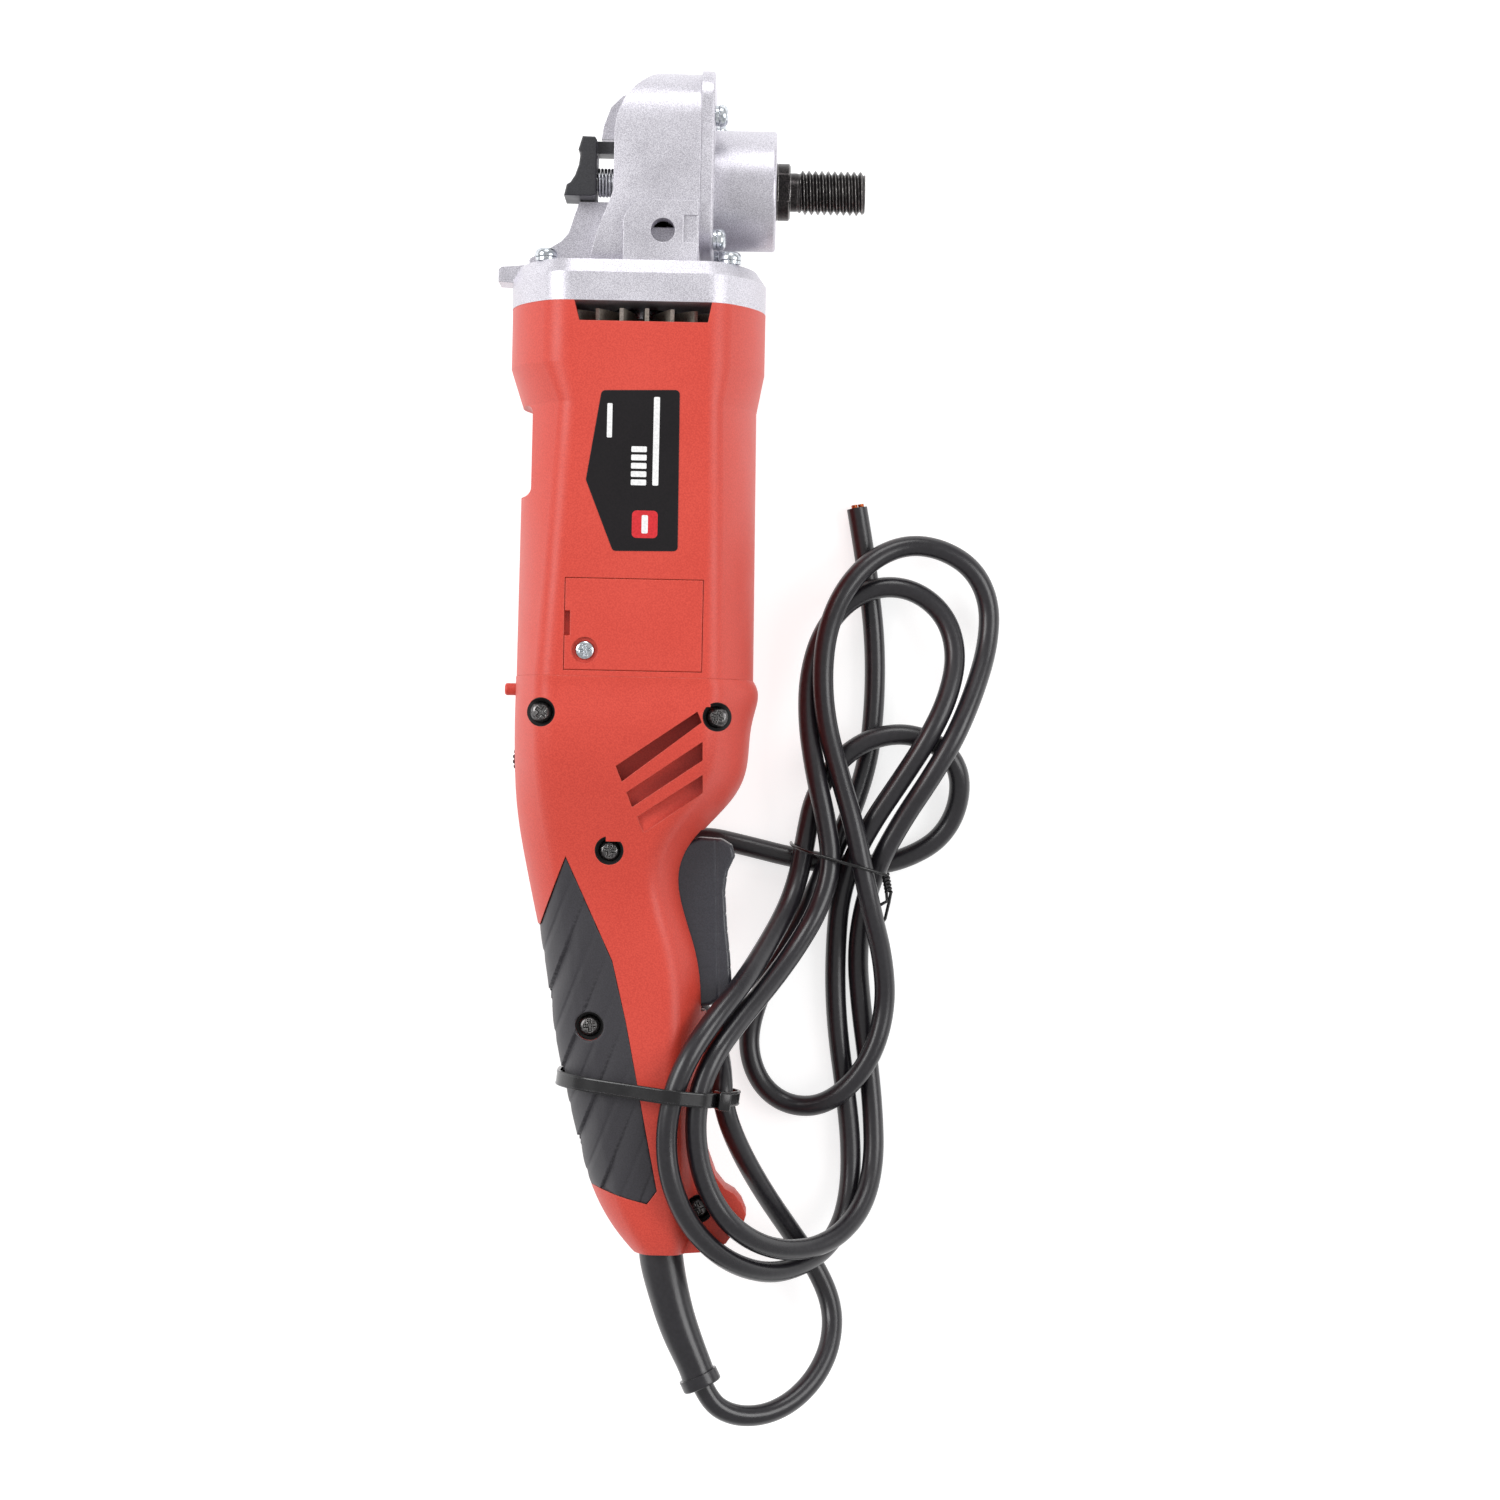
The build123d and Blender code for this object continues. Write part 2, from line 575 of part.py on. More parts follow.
VENTS = [
    [(-18.8, -36.3), (9.5, -16.7), (11.1, -20.4), (-16.6, -41.7)],
    [(-14.9, -45.5), (11.5, -27.2), (11.6, -33.7), (-12.9, -50.6)],
    [(-11.1, -54.1), (11.7, -38.8), (11.8, -45.2), (-8.8, -59.7)],
]
HEEL = [(5, -160), (15.0, -168), (16.0, -174.5), (19.0, -182.5), (22.4, -186.6), (25.9, -188.6), (28.4, -191.6),
        (30.2, -195.8), (29.4, -198.4), (27.6, -199.6), (23.2, -206.2), (13.9, -209.6), (5, -210.3)]
TRIGGER_SLOT_HALF = 9.6
TRIGGER_HALF = 9.0
PIVOT = (5.0, -118.0)
PIVOT_R = 1.5
TRIGGER_SLOT = [(-2, -60.0), (30, -57.0), (30, -123.6), (3, -123.6)]
PEG_Y = -9.6
PEG_R = 2.2
DIAL_Y = -34.7
DIAL_HALF = 3.0
GUARD_X = -0.2
GUARD_HOLE_R = 6.3


def handle_loft(inset):
    """The whole handle's form, drawn in by an inset all round."""
    sections = []
    for y, back, front, flat_back, flat_front, half, corner in HANDLE_SECTIONS:
        sections.append(body_section(y, back + inset, front - inset, flat_back + 0.5 * inset,
                                     flat_front - 0.5 * inset, half - inset, corner - 0.4 * inset))
    loft(sections)


with BuildPart() as handle_outer:
    handle_loft(0)
with BuildPart() as handle_under_pad:
    handle_loft(PAD_DEPTH)
with BuildPart() as handle_inner:
    handle_loft(WALL)
    prism([(-80, HANDLE_REAR + 3.5), (60, HANDLE_REAR + 3.5), (60, -230), (-80, -230)], -60, 60, Mode.SUBTRACT)
with BuildPart() as handle_form:
    add(handle_outer.part)
    prism(HEEL, -11, 11)


def grip_pad(side):
    """The soft grip on one side, let into the shell."""
    with BuildPart() as pad:
        add(handle_outer.part)
        prism(PAD_OUTLINE, min(0, side * 45), max(0, side * 45), Mode.INTERSECT)
        add(handle_under_pad.part, mode=Mode.SUBTRACT)
        peg_z(WELLS[3][0], WELLS[3][1], 0, side * 45, WELL_R, Mode.SUBTRACT)
    return pad.part


grip_pad_right = grip_pad(1)
grip_pad_left = grip_pad(-1)


def hole_x(y, r, x0, x1):
    """A round hole along X on the mid-plane."""
    with BuildSketch(across_x(x0)) as disc:
        with Locations((y - SPINDLE_Y, 0)):
            Circle(r)
    extrude(disc.sketch, amount=x1 - x0, mode=Mode.SUBTRACT)


def shell_half(side, pad):
    """One half of the handle housing, from the mid-plane outwards."""
    with BuildPart() as shell:
        add(handle_form.part)
        add(handle_inner.part, mode=Mode.SUBTRACT)
        with BuildSketch(across_y(HANDLE_REAR + 4)):
            with Locations((GUARD_X - AXIS_X, 0)):
                Circle(GUARD_HOLE_R)
        extrude(amount=-8, mode=Mode.SUBTRACT)
        for x, y, mouth in WELLS:
            peg_z(x, y, 0, side * mouth, 4.2)
            peg_z(x, y, side * (mouth - WELL_DEEP - 1.5), side * 45, WELL_R + 1.2)
            peg_z(x, y, side * (mouth - WELL_DEEP), side * 45, WELL_R, Mode.SUBTRACT)
            peg_z(x, y, 0, side * 44, 1.7, Mode.SUBTRACT)
        for vent in VENTS:
            prism(vent, min(side * 12, side * 45), max(side * 12, side * 45), Mode.SUBTRACT)
        duct_floor = sorted((side * DUCT_DEPTH, side * (DUCT_DEPTH + DUCT_WALL)))
        duct_end = sorted((side * DUCT_DEPTH, side * 45))
        prism([(-22, -63), (14, -63), (14, -13.5), (-22, -13.5)], *duct_floor)
        for y in (-63, -15):
            prism([(-22, y), (14, y), (14, y + DUCT_WALL), (-22, y + DUCT_WALL)], *duct_end)
        with BuildSketch(MID_PLANE):
            with BuildLine():
                Polyline(*TRIGGER_SLOT, close=True)
            make_face()
        extrude(amount=side * TRIGGER_SLOT_HALF, mode=Mode.SUBTRACT)
        peg_z(*PIVOT, side * TRIGGER_SLOT_HALF, side * 20, 3.6)
        peg_z(*PIVOT, 0, side * (TRIGGER_SLOT_HALF + 4), PIVOT_R, Mode.SUBTRACT)
        hole_x(PEG_Y, PEG_R + 0.3, -62, -50)
        with BuildSketch(MID_PLANE):
            with Locations((-57, DIAL_Y)):
                Rectangle(18, 17.6)
        extrude(amount=side * (DIAL_HALF + 0.5), mode=Mode.SUBTRACT)
        prism([(-80, -230), (60, -230), (60, 0), (-80, 0)], min(0, side * 60), max(0, side * 60),
              Mode.INTERSECT)
        add(handle_form.part, mode=Mode.INTERSECT)
        add(pad, mode=Mode.SUBTRACT)
    return shell.part


handle_shell_right = shell_half(1, grip_pad_right)
handle_shell_left = shell_half(-1, grip_pad_left)

with BuildPart() as handle_screws:
    for x, y, mouth in WELLS:
        head = mouth - WELL_DEEP
        peg_z(x, y, -10, head, 1.7)
        peg_z(x, y, head, head + 2.4, HANDLE_SCREW_HEAD_R)
        peg_z(x, y, head + 2.4, head + 1.2, 1.3, Mode.SUBTRACT)

# ---- controls ----
TRIGGER_OUTLINE = [
    (10.8, -61.4), (18.7, -61.8), (22.5, -64.0), (23.6, -68.0), (21.2, -73.1), (20.3, -80.3), (21.2, -92.9),
    (22.5, -103.6), (23.4, -114.4), (20.5, -118.6), (16.0, -121.4), (5.5, -122.4), (1.6, -121.0),
    (0.8, -117), (2.6, -108), (2.2, -98), (0.6, -85), (1.2, -70), (3.5, -64.5),
]
with BuildPart() as trigger:
    prism(TRIGGER_OUTLINE, -TRIGGER_HALF, TRIGGER_HALF)
    chamfer(trigger.faces().group_by(Axis.Z)[0].edges() + trigger.faces().group_by(Axis.Z)[-1].edges(), 0.8)
    peg_z(*PIVOT, -20, 20, PIVOT_R + 0.05, Mode.SUBTRACT)
    peg_z(*PIVOT, -3, 3, 3.1, Mode.SUBTRACT)
with BuildPart() as trigger_pin:
    peg_z(*PIVOT, -TRIGGER_SLOT_HALF - 3.8, TRIGGER_SLOT_HALF + 3.8, PIVOT_R)
with BuildPart() as trigger_spring:
    peg_z(*PIVOT, -2.6, 2.6, 2.7)
    peg_z(*PIVOT, -3, 3, PIVOT_R + 0.1, Mode.SUBTRACT)
with BuildPart() as switch_body:
    prism([(-25, -107), (-8, -107), (-8, -76), (-25, -76)], -8, 8)
    fillet(switch_body.edges(), 1.0)
    prism([(-9, -94), (-5.2, -94), (-5.2, -89), (-9, -89)], -2.5, 2.5)
with BuildPart() as control_board:
    prism([(-24, -57), (2, -57), (2, -16), (-24, -16)], 8, 9.6)
    prism([(-20, -40), (-6, -40), (-6, -22), (-20, -22)], 9.6, 17)
    prism([(-3, -50), (0, -50), (0, -28), (-3, -28)], 9.6, 20)
    peg_z(-14, -49, 9.6, 19, 4.5)
DIAL_R = 11.0
DIAL_X = -46.0
with BuildPart() as speed_dial:
    peg_z(DIAL_X, DIAL_Y, -DIAL_HALF, DIAL_HALF, DIAL_R)
    with BuildSketch(MID_PLANE.offset(-DIAL_HALF)):
        with Locations((DIAL_X, DIAL_Y)):
            with PolarLocations(DIAL_R, 36):
                Circle(0.45)
    extrude(amount=2 * DIAL_HALF, mode=Mode.SUBTRACT)
    peg_z(DIAL_X, DIAL_Y, -10, 10, 2.05, Mode.SUBTRACT)
with BuildPart() as dial_axle:
    peg_z(DIAL_X, DIAL_Y, -6, 6, 2.0)
with BuildPart() as lock_on_button:
    with BuildSketch(across_x(-60.5)):
        with Locations((PEG_Y - SPINDLE_Y, 0)):
            Circle(PEG_R)
    extrude(amount=12)
    fillet(lock_on_button.edges().group_by(Axis.X)[0], 0.9)
    with BuildSketch(across_x(-52.6)):
        with Locations((PEG_Y - SPINDLE_Y, 0)):
            Circle(PEG_R + 1.6)
    extrude(amount=1.6)

# ---- supply cord ----
GUARD_MOUTH = (13.98, -254.87, 7.2, 26)
GUARD_TAPER = [  # x, y, radius, turn from the -Y direction in degrees
    (-0.2, -210.6, 7.9, 0), (0.3, -214.5, 7.85, 6), (1.6, -220.5, 7.6, 11), (4.7, -231.5, 7.1, 18),
    (9.0, -243.0, 6.6, 23), (14.2, -255.2, 6.2, 26),
]


def guard_ring(x, y, r, turn):
    """A round section of the cord guard, square to its run."""
    a = math.radians(turn)
    across = Plane(origin=(x, y, MID_Z), x_dir=(0, 0, 1), z_dir=(math.sin(a), -math.cos(a), 0))
    with BuildSketch(across) as ring:
        Circle(r)
    return ring.sketch


with BuildPart() as cord_guard:
    loft([guard_ring(*station) for station in GUARD_TAPER])
    extrude(guard_ring(GUARD_X, -190.0, GUARD_HOLE_R - 0.1, 0), amount=21)
    extrude(guard_ring(*GUARD_MOUTH), amount=4.6)
    fillet(cord_guard.edges().group_by(Axis.Y)[0], 0.8)
with BuildPart() as cord_clamp:
    with BuildSketch(across_y(-199)):
        with Locations((GUARD_X - AXIS_X - 4, -6.5)):
            RectangleRounded(19, 6, 1.5)
        with Locations((GUARD_X - AXIS_X, 0)):
            Circle(GUARD_HOLE_R, mode=Mode.SUBTRACT)
    extrude(amount=9)
with BuildPart() as cord_clamp_screws:
    for y in (-192.2, -196.8):
        peg_z(GUARD_X - 10, y, 9.5, 11.3, 1.9)

ROUTE = [  # the cord's route, from the guard's mouth to the bare end
    (16.0, -259.0, 41.0), (18.3, -263.6, 40.8), (23.1, -268.1, 39.5), (30.7, -270.5, 37.0),
    (40.1, -269.9, 33.0), (49.4, -265.4, 28.5), (57.3, -257.3, 23.5), (62.3, -246.8, 18.0),
    (62.9, -233.9, 13.0), (57.1, -220.3, 11.3), (46.9, -206.3, 13.0), (35.9, -190.0, 23.0),
    (26.4, -172.6, 34.5), (21.0, -157.7, 41.0), (20.4, -144.7, 36.5), (17.4, -133.0, 25.0),
    (9.0, -121.4, 12.5), (-1.5, -109.0, 4.5), (-9.3, -93.3, 3.9), (-7.8, -77.8, 3.9),
    (-0.3, -66.1, 3.9), (10.7, -61.5, 3.9), (28.2, -65.2, 3.9), (45.6, -69.3, 3.9),
    (64.1, -71.8, 3.9), (80.8, -70.7, 3.9), (94.7, -64.5, 3.9), (101.9, -57.0, 4.6),
    (105.6, -47.3, 7.0), (105.6, -36.9, 10.0), (100.9, -28.9, 12.0), (92.3, -23.9, 12.2),
    (81.3, -22.3, 12.2), (69.2, -25.9, 12.2), (59.1, -34.6, 12.2), (52.0, -46.5, 12.2),
    (49.4, -60.5, 12.6), (47.4, -74.1, 13.5), (43.2, -87.1, 20.0), (35.6, -100.6, 35.0),
    (27.6, -112.9, 51.0), (17.4, -125.2, 62.0), (8.8, -138.2, 68.2), (3.2, -152.0, 68.8),
    (1.0, -168.0, 68.4), (3.4, -184.5, 67.8), (10.7, -199.9, 62.0), (23.7, -212.8, 53.0),
    (40.1, -219.1, 38.0), (54.7, -215.5, 23.0), (64.5, -206.3, 13.0), (68.5, -192.0, 6.0),
    (68.5, -173.7, 3.9), (65.9, -153.8, 3.9), (62.9, -134.7, 3.9), (61.4, -117.0, 3.9),
    (61.4, -99.2, 4.5), (62.4, -83.5, 8.5), (66.4, -69.3, 13.0), (73.8, -54.8, 15.0),
    (84.0, -39.1, 18.0), (93.8, -23.2, 20.9), (100.5, -8.4, 18.0), (103.4, 6.8, 13.5),
    (99.5, 20.7, 11.8), (88.7, 30.0, 11.8), (75.4, 31.9, 11.9), (63.0, 26.2, 11.9),
    (53.7, 14.3, 10.0), (49.3, -1.7, 10.0), (49.2, -19.0, 14.6), (52.1, -37.2, 20.3),
    (56.4, -54.7, 20.9), (59.0, -70.7, 20.9), (54.9, -86.4, 22.5), (46.7, -100.8, 30.0),
    (36.8, -114.1, 42.0), (25.9, -126.8, 54.0), (17.0, -139.1, 63.0), (12.0, -153.2, 65.0),
    (11.6, -169.6, 64.2), (15.8, -186.0, 62.0), (24.6, -199.3, 58.0), (37.6, -208.3, 46.5),
    (52.2, -210.5, 34.0), (64.6, -206.1, 24.0), (73.5, -195.7, 14.0), (77.1, -180.7, 6.5),
    (76.4, -162.5, 3.9), (74.1, -143.3, 3.9), (71.2, -124.2, 3.9), (69.3, -105.7, 4.2),
    (70.7, -88.5, 8.0), (75.3, -72.1, 12.6), (84.1, -54.9, 15.0), (94.5, -38.5, 20.3),
    (103.3, -23.0, 20.6), (110.2, -6.0, 15.0), (115.0, 10.8, 9.0), (115.4, 26.3, 8.0),
    (109.2, 38.6, 10.0), (97.5, 45.6, 12.0), (84.2, 47.1, 13.5), (71.3, 41.2, 17.0),
    (61.3, 29.8, 19.9), (55.4, 15.1, 19.4), (53.9, -1.7, 19.0), (55.7, -19.6, 20.0),
    (61.2, -38.5, 21.2), (66.7, -56.6, 22.6), (70.3, -72.6, 22.2), (74.0, -88.7, 19.5),
    (78.5, -105.0, 14.0), (80.1, -122.0, 11.0), (76.4, -138.9, 12.4), (67.8, -152.3, 12.9),
    (57.0, -160.2, 9.0), (46.0, -160.8, 5.0), (36.7, -155.6, 3.9), (30.9, -145.7, 3.9),
    (29.6, -133.2, 3.9), (34.8, -116.4, 3.9), (44.4, -99.5, 6.0), (52.1, -84.0, 10.5),
    (58.7, -68.0, 12.3), (66.2, -51.7, 8.5), (72.2, -31.7, 3.9), (73.9, -10.3, 3.9),
    (73.5, 11.2, 3.9), (70.8, 32.2, 3.9), (67.9, 49.5, 3.9), (65.8, 60.5, 3.9),
]


def corner_radii(points):
    """The largest arc each corner of a route allows: 0.45 of its shorter run."""
    radii = []
    for before, here, after in zip(points, points[1:], points[2:]):
        run_in = Vector(*here) - Vector(*before)
        run_out = Vector(*after) - Vector(*here)
        half_turn = math.radians(run_in.get_angle(run_out) / 2)
        radii.append(0.45 * min(run_in.length, run_out.length) / math.tan(half_turn))
    return radii


def tube(points, d):
    """A round tube along straight runs joined by tangent arcs."""
    with BuildPart() as run:
        with BuildLine() as path:
            FilletPolyline(*points, radius=corner_radii(points))
        with BuildSketch(Plane(origin=path.line @ 0, z_dir=path.line % 0)):
            Circle(d / 2)
        sweep(path=path.line)
    length = path.wire().length
    print(f"tube {d} mm: length {length:.0f}, volume {run.part.volume:.0f}"
          f" of {length * math.pi * d * d / 4:.0f}")
    return run.part


print("cord radii", [round(r) for r in corner_radii(ROUTE)])
cord = tube(ROUTE, CORD_D)
with BuildPart(Plane(origin=ROUTE[-1], z_dir=Vector(*ROUTE[-1]) - Vector(*ROUTE[-2]))) as cord_cores:
    with PolarLocations(1.6, 3):
        Cylinder(1.1, 1.2, align=(Align.CENTER, Align.CENTER, Align.MIN))

TIE_PLANE = Plane(origin=(0, -152.2, 0), x_dir=(math.cos(math.radians(6)), -math.sin(math.radians(6)), 0),
                  z_dir=(math.sin(math.radians(6)), math.cos(math.radians(6)), 0))
TIE_LOOP = [(-25, 17.6), (4.5, 17.6), (14, 20.5), (26.2, 37.5), (26.1, 44), (16.4, 67.0), (13.9, 69.8),
            (5.0, 73.4), (1.2, 73.4), (-30.4, 64.2), (-38.0, 52), (-38.0, 31), (-33.2, 20.6)]
with BuildPart() as cable_tie:
    with BuildSketch(TIE_PLANE) as strap:
        with BuildLine():
            Polyline(*[(x, -z) for x, z in TIE_LOOP], close=True)
        make_face()
        offset(amount=1.2, kind=Kind.ARC)
        with BuildLine():
            Polyline(*[(x, -z) for x, z in TIE_LOOP], close=True)
        make_face(mode=Mode.SUBTRACT)
    extrude(amount=2.6, both=True)
    with BuildSketch(TIE_PLANE):
        with Locations(Location((20.6, -61.6), -20)):
            RectangleRounded(4.6, 7.6, 0.8)
    extrude(amount=3.4, both=True)
TWIST = [(44.0, -63.5, 8.0), (43.8, -64.2, 17.0), (51.5, -66.8, 25.0), (61.0, -69.5, 27.8), (73.0, -72.5, 28.0),
         (80.5, -75.5, 20.5), (81.5, -77.5, 10.0)]
twist_tie = tube(TWIST, 1.4)

# ---- files ----
PIECES = {
    "gear_housing": gear_housing.part, "gear_cover": gear_cover.part,
    "cover_screws": cover_screws.part, "cover_washers": cover_washers.part,
    "flange_screws": flange_screws.part, "flange_washers": flange_washers.part,
    "spindle": spindle.part, "crown_gear": crown_place.from_local_coords(crown_gear.part),
    "pinion_gear": pinion_place.from_local_coords(pinion_gear.part),
    "spindle_bearing_inner": spindle_bearing_inner.part, "spindle_bearing_outer": spindle_bearing_outer.part,
    "spindle_bearing_balls": spindle_bearing_balls.part, "spindle_bush": spindle_bush.part,
    "lock_button": lock_button.part, "lock_pin": lock_pin.part, "lock_spring": lock_spring.part,
    "armature_shaft": armature_shaft.part, "rotor_core": rotor_core.part,
    "rotor_windings": rotor_windings.part, "commutator": commutator.part, "fan": fan.part,
    "front_bearing_inner": front_inner, "front_bearing_outer": front_outer,
    "front_bearing_balls": front_balls, "rear_bearing_inner": rear_inner,
    "rear_bearing_outer": rear_outer, "rear_bearing_balls": rear_balls,
    "stator_core": stator_core.part, "field_coils": field_coils.part, "air_baffle": air_baffle.part,
    "motor_housing": motor_housing.part, "brush_holders": brush_holders.part,
    "carbon_brushes": carbon_brushes.part, "brush_springs": brush_springs.part,
    "brush_cover_right": brush_cover_right, "brush_cover_left": brush_cover_left,
    "brush_cover_screws": brush_cover_screws.part, "name_label": name_label.part,
    "handle_shell_right": handle_shell_right, "handle_shell_left": handle_shell_left,
    "handle_screws": handle_screws.part, "grip_pad_right": grip_pad_right, "grip_pad_left": grip_pad_left,
    "trigger": trigger.part, "trigger_pin": trigger_pin.part, "trigger_spring": trigger_spring.part,
    "switch_body": switch_body.part, "control_board": control_board.part, "speed_dial": speed_dial.part,
    "dial_axle": dial_axle.part, "lock_on_button": lock_on_button.part, "cord_guard": cord_guard.part,
    "cord_clamp": cord_clamp.part, "cord_clamp_screws": cord_clamp_screws.part, "cord": cord,
    "cord_cores": cord_cores.part, "cable_tie": cable_tie.part, "twist_tie": twist_tie,
}
for name, piece in PIECES.items():
    save(piece, name)
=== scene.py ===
# %% [markdown]
# # A corded rotary polisher, lying on its side
# The polisher has a cast gear head with a threaded spindle, a red nylon motor housing, a handle in two
# halves with soft grips, a paddle trigger, and about two metres of cord tied up beside it. The hard
# parts come from the CAD model, which also knows how they move. This lesson gives them their finishes
# and makes the pieces that CAD draws plainly: thread, screws, springs, grips, ties and cord.

# %% Load the frame
import math

import bmesh
import bpy
import numpy as np
from mathutils import Matrix, Vector
from mathutils.bvhtree import BVHTree


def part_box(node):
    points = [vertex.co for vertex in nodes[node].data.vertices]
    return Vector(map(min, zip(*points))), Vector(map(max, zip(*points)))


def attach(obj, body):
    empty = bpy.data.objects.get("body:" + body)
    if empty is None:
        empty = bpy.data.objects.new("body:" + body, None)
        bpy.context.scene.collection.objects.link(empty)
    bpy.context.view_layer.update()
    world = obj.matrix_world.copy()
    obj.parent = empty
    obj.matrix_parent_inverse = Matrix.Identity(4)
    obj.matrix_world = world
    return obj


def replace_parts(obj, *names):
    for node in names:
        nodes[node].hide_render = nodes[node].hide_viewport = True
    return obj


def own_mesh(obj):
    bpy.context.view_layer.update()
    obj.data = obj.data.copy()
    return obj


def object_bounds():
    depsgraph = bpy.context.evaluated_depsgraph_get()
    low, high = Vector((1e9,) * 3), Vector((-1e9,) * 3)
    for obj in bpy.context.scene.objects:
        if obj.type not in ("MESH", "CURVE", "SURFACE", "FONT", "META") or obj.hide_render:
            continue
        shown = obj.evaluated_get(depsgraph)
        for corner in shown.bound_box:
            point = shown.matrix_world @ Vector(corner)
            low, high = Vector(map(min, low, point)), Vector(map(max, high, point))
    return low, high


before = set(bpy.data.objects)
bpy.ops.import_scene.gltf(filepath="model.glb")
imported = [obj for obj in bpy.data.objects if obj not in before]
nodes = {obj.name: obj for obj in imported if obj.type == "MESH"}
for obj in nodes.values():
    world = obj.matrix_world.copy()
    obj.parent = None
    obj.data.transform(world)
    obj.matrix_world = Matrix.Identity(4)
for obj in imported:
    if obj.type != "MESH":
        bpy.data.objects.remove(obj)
cad_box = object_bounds()
MM = 0.001
print(len(nodes), "nodes from the CAD model")

# %% [markdown]
# The camera looks straight down on the tool, as someone does who has just laid it on a white table.
# A long lens keeps the sides nearly parallel. Set first, it shows at once if the cord would run out
# of the picture.

# %% Camera
lens = bpy.data.cameras.new("overhead")
lens.lens = 93.3
lens.sensor_width = 36.0
lens.clip_start = 0.05
camera = bpy.data.objects.new("overhead", lens)
camera.location = (0.02815, -0.0297, 1.441)
camera.rotation_euler = (0.0, 0.0, math.radians(1.2))
bpy.context.scene.collection.objects.link(camera)
bpy.context.scene.camera = camera
print("camera", round(camera.location.z, 3), "m above the table")

# %% [markdown]
# The cord is one round lead, 7.6 mm thick, doubled into long loose loops. A NURBS curve of order 3
# keeps every bend round with few points. The order is set after the points, or the curve stays
# straight between them.

